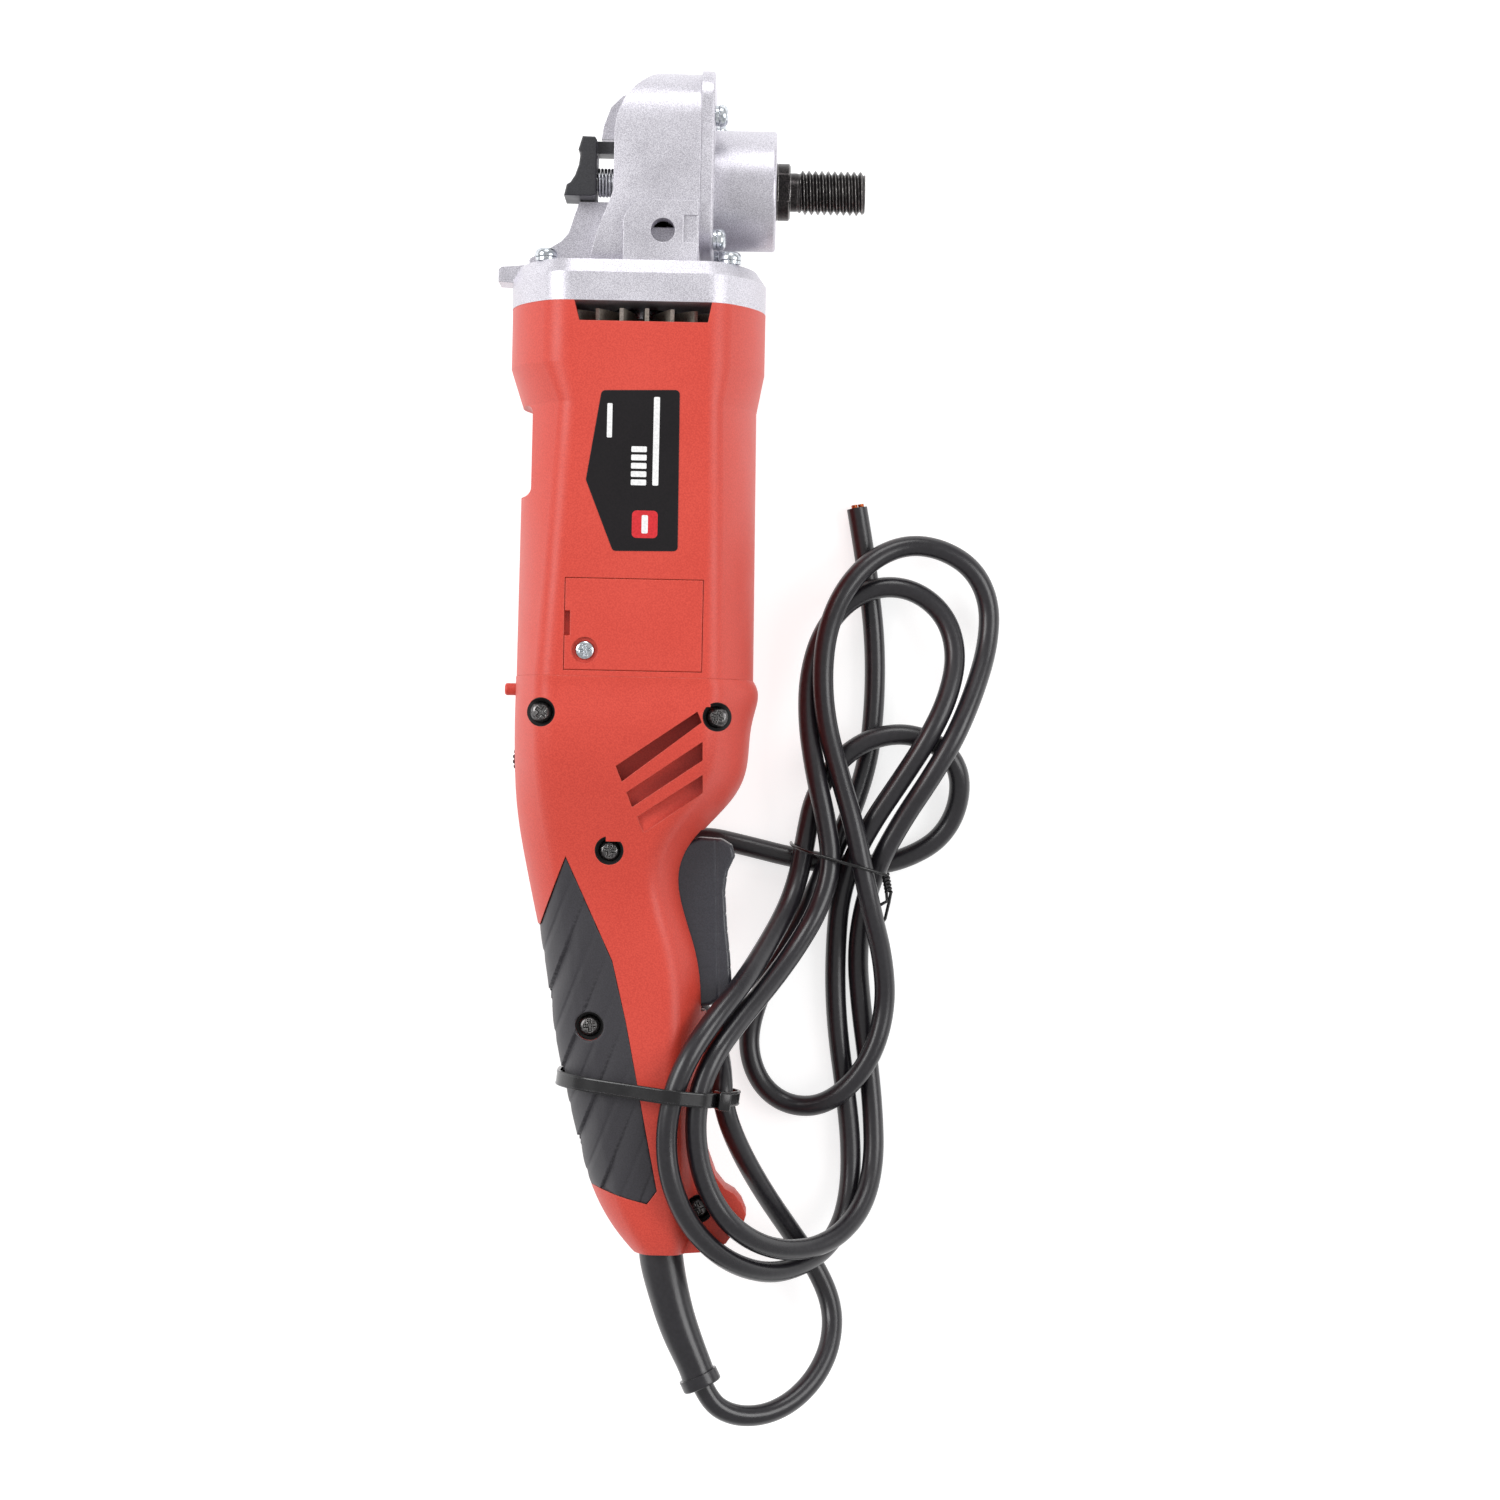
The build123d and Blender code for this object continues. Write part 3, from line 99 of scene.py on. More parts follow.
# %% Cord
ROUTE = [  # millimetres, from the guard's mouth to the bare end
    (16.0, -259.0, 41.0), (18.3, -263.6, 40.8), (23.1, -268.1, 39.5), (30.7, -270.5, 37.0),
    (40.1, -269.9, 33.0), (49.4, -265.4, 28.5), (57.3, -257.3, 23.5), (62.3, -246.8, 18.0),
    (62.9, -233.9, 13.0), (57.1, -220.3, 11.3), (46.9, -206.3, 13.0), (35.9, -190.0, 23.0),
    (26.4, -172.6, 34.5), (21.0, -157.7, 41.0), (20.4, -144.7, 36.5), (17.4, -133.0, 25.0),
    (9.0, -121.4, 12.5), (-1.5, -109.0, 4.5), (-9.3, -93.3, 3.9), (-7.8, -77.8, 3.9),
    (-0.3, -66.1, 3.9), (10.7, -61.5, 3.9), (28.2, -65.2, 3.9), (45.6, -69.3, 3.9),
    (64.1, -71.8, 3.9), (80.8, -70.7, 3.9), (94.7, -64.5, 3.9), (101.9, -57.0, 4.6),
    (105.6, -47.3, 7.0), (105.6, -36.9, 10.0), (100.9, -28.9, 12.0), (92.3, -23.9, 12.2),
    (81.3, -22.3, 12.2), (69.2, -25.9, 12.2), (59.1, -34.6, 12.2), (52.0, -46.5, 12.2),
    (49.4, -60.5, 12.6), (47.4, -74.1, 13.5), (43.2, -87.1, 20.0), (35.6, -100.6, 35.0),
    (27.6, -112.9, 51.0), (17.4, -125.2, 62.0), (8.8, -138.2, 68.2), (3.2, -152.0, 68.8),
    (1.0, -168.0, 68.4), (3.4, -184.5, 67.8), (10.7, -199.9, 62.0), (23.7, -212.8, 53.0),
    (40.1, -219.1, 38.0), (54.7, -215.5, 23.0), (64.5, -206.3, 13.0), (68.5, -192.0, 6.0),
    (68.5, -173.7, 3.9), (65.9, -153.8, 3.9), (62.9, -134.7, 3.9), (61.4, -117.0, 3.9),
    (61.4, -99.2, 4.5), (62.4, -83.5, 8.5), (66.4, -69.3, 13.0), (73.8, -54.8, 15.0),
    (84.0, -39.1, 18.0), (93.8, -23.2, 20.9), (100.5, -8.4, 18.0), (103.4, 6.8, 13.5),
    (99.5, 20.7, 11.8), (88.7, 30.0, 11.8), (75.4, 31.9, 11.9), (63.0, 26.2, 11.9),
    (53.7, 14.3, 10.0), (49.3, -1.7, 10.0), (49.2, -19.0, 14.6), (52.1, -37.2, 20.3),
    (56.4, -54.7, 20.9), (59.0, -70.7, 20.9), (54.9, -86.4, 22.5), (46.7, -100.8, 30.0),
    (36.8, -114.1, 42.0), (25.9, -126.8, 54.0), (17.0, -139.1, 63.0), (12.0, -153.2, 65.0),
    (11.6, -169.6, 64.2), (15.8, -186.0, 62.0), (24.6, -199.3, 58.0), (37.6, -208.3, 46.5),
    (52.2, -210.5, 34.0), (64.6, -206.1, 24.0), (73.5, -195.7, 14.0), (77.1, -180.7, 6.5),
    (76.4, -162.5, 3.9), (74.1, -143.3, 3.9), (71.2, -124.2, 3.9), (69.3, -105.7, 4.2),
    (70.7, -88.5, 8.0), (75.3, -72.1, 12.6), (84.1, -54.9, 15.0), (94.5, -38.5, 20.3),
    (103.3, -23.0, 20.6), (110.2, -6.0, 15.0), (115.0, 10.8, 9.0), (115.4, 26.3, 8.0),
    (109.2, 38.6, 10.0), (97.5, 45.6, 12.0), (84.2, 47.1, 13.5), (71.3, 41.2, 17.0),
    (61.3, 29.8, 19.9), (55.4, 15.1, 19.4), (53.9, -1.7, 19.0), (55.7, -19.6, 20.0),
    (61.2, -38.5, 21.2), (66.7, -56.6, 22.6), (70.3, -72.6, 22.2), (74.0, -88.7, 19.5),
    (78.5, -105.0, 14.0), (80.1, -122.0, 11.0), (76.4, -138.9, 12.4), (67.8, -152.3, 12.9),
    (57.0, -160.2, 9.0), (46.0, -160.8, 5.0), (36.7, -155.6, 3.9), (30.9, -145.7, 3.9),
    (29.6, -133.2, 3.9), (34.8, -116.4, 3.9), (44.4, -99.5, 6.0), (52.1, -84.0, 10.5),
    (58.7, -68.0, 12.3), (66.2, -51.7, 8.5), (72.2, -31.7, 3.9), (73.9, -10.3, 3.9),
    (73.5, 11.2, 3.9), (70.8, 32.2, 3.9), (67.9, 49.5, 3.9), (65.8, 60.5, 3.9),
]
CORD_R = 3.8 * MM


def smooth_line(name, points, radius, closed=False):
    """A round wire on one smooth curve through the neighbourhood of its points."""
    curve = bpy.data.curves.new(name, "CURVE")
    curve.dimensions = "3D"
    line = curve.splines.new("NURBS")
    line.points.add(len(points) - 1)
    for point, place in zip(line.points, points):
        point.co = (*(Vector(place) * MM), 1.0)
        point.radius = radius
    line.order_u = 3
    line.use_endpoint_u = not closed
    line.use_cyclic_u = closed
    line.resolution_u = 10
    curve.bevel_depth = 1.0
    curve.bevel_resolution = 7
    curve.use_fill_caps = True
    piece = bpy.data.objects.new(name, curve)
    bpy.context.scene.collection.objects.link(piece)
    return piece


supply_cord = smooth_line("supply_cord", ROUTE, CORD_R)
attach(supply_cord, "housing")
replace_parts(supply_cord, "cord")
print(len(ROUTE), "points on the cord")

# %% [markdown]
# Every finish is built from a few effects that come again and again. Each one is a node group with
# named inputs, so a material only says how strong it wants the effect. The groups work in object
# coordinates, which here are metres in the tool's own frame, so grain has the same size everywhere.

# %% Node group helper
def effect_group(name, inputs, outputs):
    """A new shader group: inputs are floats with defaults, outputs are float sockets."""
    tree = bpy.data.node_groups.new(name, "ShaderNodeTree")
    for label, value in inputs.items():
        made = tree.interface.new_socket(name=label, in_out="INPUT", socket_type="NodeSocketFloat")
        made.default_value = value
    for label in outputs:
        tree.interface.new_socket(name=label, in_out="OUTPUT", socket_type="NodeSocketFloat")
    return tree, tree.nodes.new("NodeGroupInput"), tree.nodes.new("NodeGroupOutput")


def maths(tree, operation, first, second=None, third=None):
    """One Math node. Each operand is a socket or a number."""
    node = tree.nodes.new("ShaderNodeMath")
    node.operation = operation
    for slot, value in zip(node.inputs, (first, second, third)):
        if isinstance(value, bpy.types.NodeSocket):
            tree.links.new(value, slot)
        elif value is not None:
            slot.default_value = value
    return node.outputs[0]


def cloud(tree, place, scale, detail=2.0, roughness=0.5):
    """A noise field. Scale is a socket or a number, in cells per metre."""
    node = tree.nodes.new("ShaderNodeTexNoise")
    tree.links.new(place, node.inputs["Vector"])
    if isinstance(scale, bpy.types.NodeSocket):
        tree.links.new(scale, node.inputs["Scale"])
    else:
        node.inputs["Scale"].default_value = scale
    node.inputs["Detail"].default_value = detail
    node.inputs["Roughness"].default_value = roughness
    return node.outputs["Fac"]


# %% [markdown]
# Grain is the fine relief that a mould or a sand-blasted die leaves. Two noises of different size,
# added with a weight, look less regular than one. The same field, stretched in contrast, gives light
# and dark flecks: random tone on most finishes, and on the cast aluminium painted glints, the sparkle
# of its blasted skin put into the colour.

# %% Grain group
grain, given, out = effect_group("grain_and_glint_field", {"Cells per metre": 1500.0, "Coarse share": 0.4},
                                 ["Height", "Flecks and painted glints"])
turned_space = grain.nodes.new("ShaderNodeMapping")   # a noise is flat on planes that follow its lattice
turned_space.inputs["Rotation"].default_value = (0.55, 0.31, 0.83)
grain.links.new(grain.nodes.new("ShaderNodeTexCoord").outputs["Object"], turned_space.inputs["Vector"])
place = turned_space.outputs["Vector"]
fine = cloud(grain, place, given.outputs["Cells per metre"], 1.0)
coarse = cloud(grain, place, maths(grain, "MULTIPLY", given.outputs["Cells per metre"], 0.31), 2.0)
height = maths(grain, "MULTIPLY_ADD", coarse, given.outputs["Coarse share"], fine)
grain.links.new(height, out.inputs["Height"])
fleck_and_glint = maths(grain, "SUBTRACT", fine, 0.5)
fleck_and_glint = maths(grain, "MULTIPLY_ADD", fleck_and_glint, 3.2, 0.5)
fleck_and_glint = maths(grain, "MINIMUM", maths(grain, "MAXIMUM", fleck_and_glint, 0.0), 1.0)
grain.links.new(fleck_and_glint, out.inputs["Flecks and painted glints"])
print("group", grain.name)

# %% [markdown]
# Edges catch light: plastic is polished there by hands, and metal loses its blasted skin. A Bevel
# node bends the normal near an edge. Where the bent normal leaves the true one, there is an edge.
# Noise breaks the line up, because wear is never even.

# %% Edge wear group
wear, given, out = effect_group("edge_wear", {"Amount": 1.0, "Cells per metre": 260.0}, ["Mask"])
rounded = wear.nodes.new("ShaderNodeBevel")
rounded.samples = 4
rounded.inputs["Radius"].default_value = 0.5 * MM
true_normal = wear.nodes.new("ShaderNodeNewGeometry").outputs["Normal"]
agree = wear.nodes.new("ShaderNodeVectorMath")
agree.operation = "DOT_PRODUCT"
wear.links.new(rounded.outputs["Normal"], agree.inputs[0])
wear.links.new(true_normal, agree.inputs[1])
edge = maths(wear, "MULTIPLY", maths(wear, "SUBTRACT", 1.0, agree.outputs["Value"]), 7.0)
place = wear.nodes.new("ShaderNodeTexCoord").outputs["Object"]
broken = maths(wear, "MULTIPLY_ADD", cloud(wear, place, given.outputs["Cells per metre"], 3.0), 2.0, -0.4)
mask = maths(wear, "MULTIPLY", maths(wear, "MULTIPLY", edge, broken), given.outputs["Amount"])
wear.links.new(maths(wear, "MINIMUM", maths(wear, "MAXIMUM", mask, 0.0), 1.0), out.inputs["Mask"])
print("group", wear.name)

# %% [markdown]
# Handling leaves broad, faint patches that are a little shinier or duller. This group puts out one
# slow field, and each material adds it to its roughness and, weakly, to its colour.

# %% Handling group
handling, given, out = effect_group("handling", {"Cells per metre": 32.0, "Contrast": 1.0}, ["Patches"])
place = handling.nodes.new("ShaderNodeTexCoord").outputs["Object"]
slow = cloud(handling, place, given.outputs["Cells per metre"], 4.0, 0.62)
slow = maths(handling, "MULTIPLY", maths(handling, "SUBTRACT", slow, 0.5), given.outputs["Contrast"])
handling.links.new(slow, out.inputs["Patches"])
print("group", handling.name)

# %% [markdown]
# A finish joins the effects to one Principled shader. Base colour runs between a dark and a light
# tone by the flecks (painted glints on the cast aluminium) and patches, then towards a worn tone on
# the edges. Roughness takes the patches.
# Height makes the bump, on top of a softly rounded normal, since no moulded edge is knife sharp.

# %% Finish builder
def tone(r, g, b):
    """A linear colour from the 0-255 values a colour picker shows."""
    return tuple(((v / 255 + 0.055) / 1.055) ** 2.4 if v > 10 else v / 3295 for v in (r, g, b)) + (1.0,)


def placed(tree, group, **values):
    """One instance of an effect group, with its own values."""
    node = tree.nodes.new("ShaderNodeGroup")
    node.node_tree = group
    for label, value in values.items():
        node.inputs[label.replace("_", " ")].default_value = value
    return node


def mixed(tree, factor, first, second):
    """A colour between two others. Each is a socket or a colour."""
    node = tree.nodes.new("ShaderNodeMix")
    node.data_type = "RGBA"
    tree.links.new(factor, node.inputs["Factor"])
    for label, value in (("A", first), ("B", second)):
        socket = next(s for s in node.inputs if s.name == label and s.type == "RGBA")
        if isinstance(value, bpy.types.NodeSocket):
            tree.links.new(value, socket)
        else:
            socket.default_value = value
    return next(s for s in node.outputs if s.type == "RGBA")


def finish(name, dark, light, worn, roughness, metallic=0.0, cells=1500.0, coarse=0.4, relief=0.02,
           patches=0.12, wear_amount=0.6, rounding=0.35, **plain):
    """A material with grain, patches and worn edges. relief is the bump in millimetres."""
    material = bpy.data.materials.new(name)
    material.use_nodes = True
    tree = material.node_tree
    shader = tree.nodes["Principled BSDF"]
    shader.inputs["Metallic"].default_value = metallic
    for label, value in plain.items():
        shader.inputs[label.replace("_", " ")].default_value = value
    skin = placed(tree, grain, Cells_per_metre=cells, Coarse_share=coarse)
    touch = placed(tree, handling, Contrast=1.0)
    edges = placed(tree, wear, Amount=wear_amount)
    body = mixed(tree, maths(tree, "ADD", skin.outputs["Flecks and painted glints"],
                             maths(tree, "MULTIPLY", touch.outputs["Patches"], 0.8)), dark, light)
    tree.links.new(mixed(tree, edges.outputs["Mask"], body, worn), shader.inputs["Base Color"])
    rough = maths(tree, "MULTIPLY_ADD", touch.outputs["Patches"], patches * 4, roughness)
    rough = maths(tree, "MULTIPLY_ADD", edges.outputs["Mask"], -0.3 * roughness, rough)
    tree.links.new(maths(tree, "MINIMUM", maths(tree, "MAXIMUM", rough, 0.04), 1.0),
                   shader.inputs["Roughness"])
    soft = tree.nodes.new("ShaderNodeBevel")
    soft.samples = 4
    soft.inputs["Radius"].default_value = rounding * MM
    bump = tree.nodes.new("ShaderNodeBump")
    bump.inputs["Strength"].default_value = 1.0
    bump.inputs["Distance"].default_value = relief * MM
    tree.links.new(skin.outputs["Height"], bump.inputs["Height"])
    tree.links.new(soft.outputs["Normal"], bump.inputs["Normal"])
    tree.links.new(bump.outputs["Normal"], shader.inputs["Normal"])
    return material


# %% [markdown]
# Cast aluminium has a blasted, grainy skin with a faint violet cast from the alloy. It is metal, but
# so rough that it looks pale and soft. The turned steel parts are smoother, and the spindle is
# black with a thin film of oil.

# %% Metals
# The light flecks of the cast aluminium are painted glints: its sparkle put into the colour.
cast_aluminium = finish("cast_aluminium", tone(178, 175, 184), tone(226, 224, 231), tone(238, 237, 242), 0.44,
                        metallic=0.8, cells=3000.0, coarse=0.5, relief=0.05, wear_amount=0.5)
black_oxide = finish("black_oxide", tone(26, 24, 25), tone(56, 52, 52), tone(196, 192, 190), 0.34,
                     metallic=0.75, cells=1800.0, relief=0.012, wear_amount=1.0, rounding=0.28)
ground_steel = finish("ground_steel", tone(160, 162, 166), tone(205, 206, 210), tone(225, 225, 228), 0.24,
                      metallic=1.0, cells=2600.0, relief=0.005, wear_amount=0.2, rounding=0.15)
gear_steel = finish("gear_steel", tone(92, 92, 96), tone(140, 140, 145), tone(180, 180, 184), 0.32,
                    metallic=0.95, cells=1700.0, relief=0.01, wear_amount=0.7, rounding=0.15)
bright_zinc = finish("bright_zinc", tone(178, 184, 190), tone(222, 226, 230), tone(240, 242, 244), 0.2,
                     metallic=1.0, cells=900.0, relief=0.012, patches=0.08, wear_amount=0.4, rounding=0.12)
dark_screw = finish("dark_screw", tone(70, 68, 68), tone(120, 118, 118), tone(200, 198, 196), 0.3,
                    metallic=0.95, cells=1200.0, relief=0.012, wear_amount=0.9, rounding=0.1)
sintered_bronze = finish("sintered_bronze", tone(120, 88, 46), tone(170, 130, 78), tone(200, 165, 110), 0.42,
                         metallic=0.9, cells=2600.0, relief=0.02, wear_amount=0.4, rounding=0.2)
stamped_brass = finish("stamped_brass", tone(176, 146, 74), tone(214, 184, 104), tone(232, 208, 140), 0.28,
                       metallic=1.0, cells=1400.0, relief=0.006, wear_amount=0.3, rounding=0.15)
enamelled_copper = finish("enamelled_copper", tone(138, 62, 30), tone(196, 104, 54), tone(214, 140, 90), 0.3,
                          metallic=0.8, cells=1900.0, coarse=0.2, relief=0.08, wear_amount=0.2, rounding=0.3)
lamination_steel = finish("lamination_steel", tone(70, 70, 74), tone(122, 122, 128), tone(160, 160, 165), 0.42,
                          metallic=0.9, cells=2400.0, relief=0.02, wear_amount=0.4, rounding=0.15)
print("metals done")

# %% [markdown]
# The red shell is glass-filled nylon: a fine matt grain, a soft broad highlight, and a colour that is
# a little lighter where it has been rubbed. The grips are soft rubber, much darker and duller. The
# cord's PVC is smoother and shines in long lines.

# %% Plastics
red_nylon = finish("red_nylon", tone(190, 56, 42), tone(205, 68, 52), tone(222, 92, 74), 0.46,
                   cells=1900.0, coarse=0.3, relief=0.016, patches=0.06, wear_amount=0.45, rounding=0.45)
soft_grip = finish("soft_grip", tone(38, 36, 41), tone(48, 46, 52), tone(96, 94, 102), 0.6,
                   cells=2600.0, coarse=0.2, relief=0.02, patches=0.1, wear_amount=0.55, rounding=0.3,
                   Sheen_Weight=0.12, Sheen_Roughness=0.5)
trigger_nylon = finish("trigger_nylon", tone(46, 46, 52), tone(56, 56, 63), tone(98, 98, 108), 0.3,
                       cells=2100.0, relief=0.012, patches=0.1, wear_amount=0.7, rounding=0.5)
black_nylon = finish("black_nylon", tone(34, 34, 37), tone(48, 48, 52), tone(92, 92, 98), 0.42,
                     cells=2100.0, relief=0.015, wear_amount=0.7, rounding=0.3)
cord_jacket = finish("cord_jacket", tone(22, 20, 25), tone(29, 27, 32), tone(50, 48, 54), 0.33,
                     cells=700.0, coarse=0.8, relief=0.015, patches=0.1, wear_amount=0.0, rounding=0.2,
                     Coat_Weight=0.2, Coat_Roughness=0.2)
tie_nylon = finish("tie_nylon", tone(13, 12, 14), tone(18, 17, 19), tone(50, 50, 54), 0.22,
                   cells=700.0, relief=0.004, wear_amount=0.3, rounding=0.2)
# Near black for the sleeves in the screw wells: painted shade for the shadow down in the recesses.
well_painted_shade = finish("well_painted_shade", tone(12, 11, 12), tone(18, 17, 18), tone(30, 28, 30), 0.6,
                    cells=1800.0, relief=0.01, wear_amount=0.1, rounding=0.1)
graphite = finish("graphite", tone(34, 34, 36), tone(60, 60, 64), tone(100, 100, 104), 0.5,
                  metallic=0.3, cells=2600.0, relief=0.02, wear_amount=0.5, rounding=0.2)
fan_nylon = finish("fan_nylon", tone(120, 114, 106), tone(150, 144, 134), tone(176, 170, 160), 0.45,
                   cells=1600.0, relief=0.02, wear_amount=0.3, rounding=0.3)
baffle_nylon = finish("baffle_nylon", tone(118, 116, 116), tone(146, 144, 143), tone(172, 170, 168), 0.5,
                      cells=1600.0, relief=0.02, wear_amount=0.3, rounding=0.3)
board_laminate = finish("board_laminate", tone(24, 84, 48), tone(36, 112, 64), tone(120, 150, 120), 0.35,
                        cells=500.0, relief=0.02, wear_amount=0.2, rounding=0.2, Coat_Weight=0.3)
label_film = finish("label_film", tone(14, 11, 14), tone(20, 16, 19), tone(60, 56, 60), 0.34,
                    cells=1400.0, relief=0.003, patches=0.05, wear_amount=0.2, rounding=0.1,
                    Specular_IOR_Level=0.3)
label_white = finish("label_white", tone(214, 214, 214), tone(236, 236, 236), tone(240, 240, 240), 0.35,
                     cells=1400.0, relief=0.003, patches=0.04, wear_amount=0.1, rounding=0.05)
label_red = finish("label_red", tone(186, 26, 34), tone(206, 36, 44), tone(220, 80, 80), 0.35,
                   cells=1400.0, relief=0.003, patches=0.04, wear_amount=0.1, rounding=0.05)
print("plastics done")

# %% [markdown]
# The CAD nodes already have the right shapes, so most of them only change their coat. One table says
# which finish each node wears. Anything missing from it stops the script, so none is left plain.

# %% Dress the CAD nodes
COATS = {
    cast_aluminium: ["gear_housing", "gear_cover"],
    black_oxide: ["spindle"],
    ground_steel: ["spindle_bearing_inner", "spindle_bearing_outer", "spindle_bearing_balls", "lock_pin",
                   "lock_spring", "armature_shaft", "front_bearing_inner", "front_bearing_outer",
                   "front_bearing_balls", "rear_bearing_inner", "rear_bearing_outer", "rear_bearing_balls",
                   "brush_springs", "trigger_pin", "trigger_spring"],
    gear_steel: ["crown_gear", "pinion_gear"],
    bright_zinc: ["cover_screws", "cover_washers", "flange_screws", "flange_washers", "brush_cover_screws"],
    dark_screw: ["handle_screws", "cord_clamp_screws"],
    sintered_bronze: ["spindle_bush"],
    stamped_brass: ["brush_holders"],
    enamelled_copper: ["rotor_windings", "commutator", "field_coils", "cord_cores"],
    lamination_steel: ["rotor_core", "stator_core"],
    graphite: ["carbon_brushes"],
    red_nylon: ["motor_housing", "brush_cover_right", "brush_cover_left", "handle_shell_right",
                "handle_shell_left", "lock_on_button"],
    soft_grip: ["grip_pad_right", "grip_pad_left"],
    trigger_nylon: ["trigger"],
    black_nylon: ["lock_button", "switch_body", "speed_dial", "dial_axle", "cord_clamp"],
    cord_jacket: ["cord", "cord_guard"],
    tie_nylon: ["cable_tie", "twist_tie"],
    fan_nylon: ["fan"],
    baffle_nylon: ["air_baffle"],
    board_laminate: ["control_board"],
    label_film: ["name_label"],
}


def dress(piece, material):
    """The piece wears this material and no other."""
    piece.data.materials.clear()
    piece.data.materials.append(material)


for material, worn_by in COATS.items():
    for name in worn_by:
        dress(nodes[name], material)
plain_nodes = sorted(set(nodes) - {n for worn_by in COATS.values() for n in worn_by})
assert not plain_nodes, plain_nodes
dress(supply_cord, cord_jacket)
print(len(nodes), "nodes dressed")

# %% [markdown]
# New pieces are built in mesh code. This helper turns points and faces into a piece that is smooth
# except at real edges, rides on its body and has the right finish.

# %% Piece helper
def new_piece(name, points, faces, material, body="housing", crease=35.0):
    """A mesh piece from points in metres. Edges sharper than crease degrees stay sharp."""
    mesh = bpy.data.meshes.new(name)
    mesh.from_pydata([tuple(p) for p in points], [], faces)
    shaped = bmesh.new()
    shaped.from_mesh(mesh)
    bmesh.ops.remove_doubles(shaped, verts=shaped.verts, dist=1e-7)
    bmesh.ops.recalc_face_normals(shaped, faces=shaped.faces)
    shaped.to_mesh(mesh)
    shaped.free()
    mesh.shade_smooth()
    mesh.set_sharp_from_angle(angle=math.radians(crease))
    piece = bpy.data.objects.new(name, mesh)
    bpy.context.scene.collection.objects.link(piece)
    dress(piece, material)
    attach(piece, body)
    return piece


def grid_faces(rows, columns, wrap=False):
    """Quads of a grid of points, row after row. wrap joins the last column to the first."""
    last = columns if wrap else columns - 1
    return [(r * columns + c, r * columns + (c + 1) % columns, (r + 1) * columns + (c + 1) % columns,
             (r + 1) * columns + c) for r in range(rows - 1) for c in range(last)]


def islands(node):
    """The boxes of a node's separate solids: a list of (lowest corner, highest corner)."""
    mesh = nodes[node].data
    keys, owner = {}, []
    for vertex in mesh.vertices:
        owner.append(keys.setdefault(tuple(round(c * 1e5) for c in vertex.co), len(keys)))
    root = list(range(len(keys)))

    def find(i):
        while root[i] != i:
            root[i] = root[root[i]]
            i = root[i]
        return i

    for edge in mesh.edges:
        root[find(owner[edge.vertices[0]])] = find(owner[edge.vertices[1]])
    found = {}
    for vertex, i in zip(mesh.vertices, owner):
        found.setdefault(find(i), []).append(vertex.co)
    return [(Vector([min(p[k] for p in points) for k in range(3)]),
             Vector([max(p[k] for p in points) for k in range(3)])) for points in found.values()]


print("cover screws:", len(islands("cover_screws")))

# %% [markdown]
# A pan-head screw is turned, then its cross recess is punched. A disc of many rings is bent into
# the dome, and the points inside a cross are pushed down with sloping sides, as the punch leaves
# them. The shank is a plain turned bar under the head, because nobody sees it.

# %% Pan-head screws
def cross_depth(x, y, reach, width, depth):
    """How deep the cross recess is at a point of the head."""
    a, b = abs(x), abs(y)
    inside = max(min(a, b) - width, max(a, b) - reach)
    return depth * min(1.0, max(0.0, -inside) / (0.45 * width))


def pan_head(base, out, head_r, head_h, shank_r, shank_h, turn):
    """Points and faces of one screw: base is the underside of its head, out points to its top."""
    segments, rings = 72, 30
    out = Vector(out)
    frame_of = out.to_track_quat("Z", "Y").to_matrix() @ Matrix.Rotation(turn, 3, "Z")
    rows = [[(shank_r, -shank_h)] * segments, [(shank_r, 0.0)] * segments, [(head_r * 0.97, 0.0)] * segments]
    points = []
    for row in rows:
        for i, (r, z) in enumerate(row):
            a = 2 * math.pi * i / segments
            points.append((r * math.cos(a), r * math.sin(a), z))
    for ring in range(rings, -1, -1):
        share = (ring / rings) ** 0.8
        for i in range(segments):
            a = 2 * math.pi * i / segments
            r = head_r * share
            x, y = r * math.cos(a), r * math.sin(a)
            z = head_h * (0.12 + 0.88 * (1 - share ** 3.6) ** (1 / 2.2))
            z -= cross_depth(x, y, 0.6 * head_r, 0.17 * head_r, 0.55 * head_h)
            points.append((x, y, z))
    faces = grid_faces(3 + rings + 1, segments, wrap=True)
    faces.append(list(range(segments)))
    return [Vector(base) + frame_of @ Vector(p) for p in points], faces


def screw_set(name, node, out, head_r, head_h, shank_r, material):
    """Screws with cross recesses where a CAD node has plain ones."""
    points, faces = [], []
    for count, (low, high) in enumerate(islands(node)):
        axis = max(range(3), key=lambda k: abs(out[k]))
        middle = (low + high) / 2
        way = out[axis] if name != "brush_screws" else (1 if middle[axis] > 41 * MM else -1)
        top = high[axis] if way > 0 else low[axis]
        base = middle.copy()
        base[axis] = top - way * head_h
        length = high[axis] - low[axis] - head_h
        direction = Vector([way if k == axis else 0 for k in range(3)])
        new_points, new_faces = pan_head(base, direction, head_r, head_h, shank_r, length, 0.4 + 1.3 * count)
        faces += [tuple(i + len(points) for i in face) for face in new_faces]
        points += new_points
    piece = new_piece(name, points, faces, material, crease=30.0)
    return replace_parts(piece, node)


screw_set("head_screws", "cover_screws", (1, 0, 0), 4.0 * MM, 3.2 * MM, 2.0 * MM, bright_zinc)
screw_set("flange_bolts", "flange_screws", (0, 1, 0), 4.0 * MM, 3.2 * MM, 2.0 * MM, bright_zinc)
screw_set("brush_screws", "brush_cover_screws", (0, 0, 1), 3.4 * MM, 1.2 * MM, 1.6 * MM, bright_zinc)
screw_set("shell_screws", "handle_screws", (0, 0, 1), 3.9 * MM, 2.4 * MM, 1.7 * MM, dark_screw)
print("screws with recesses")

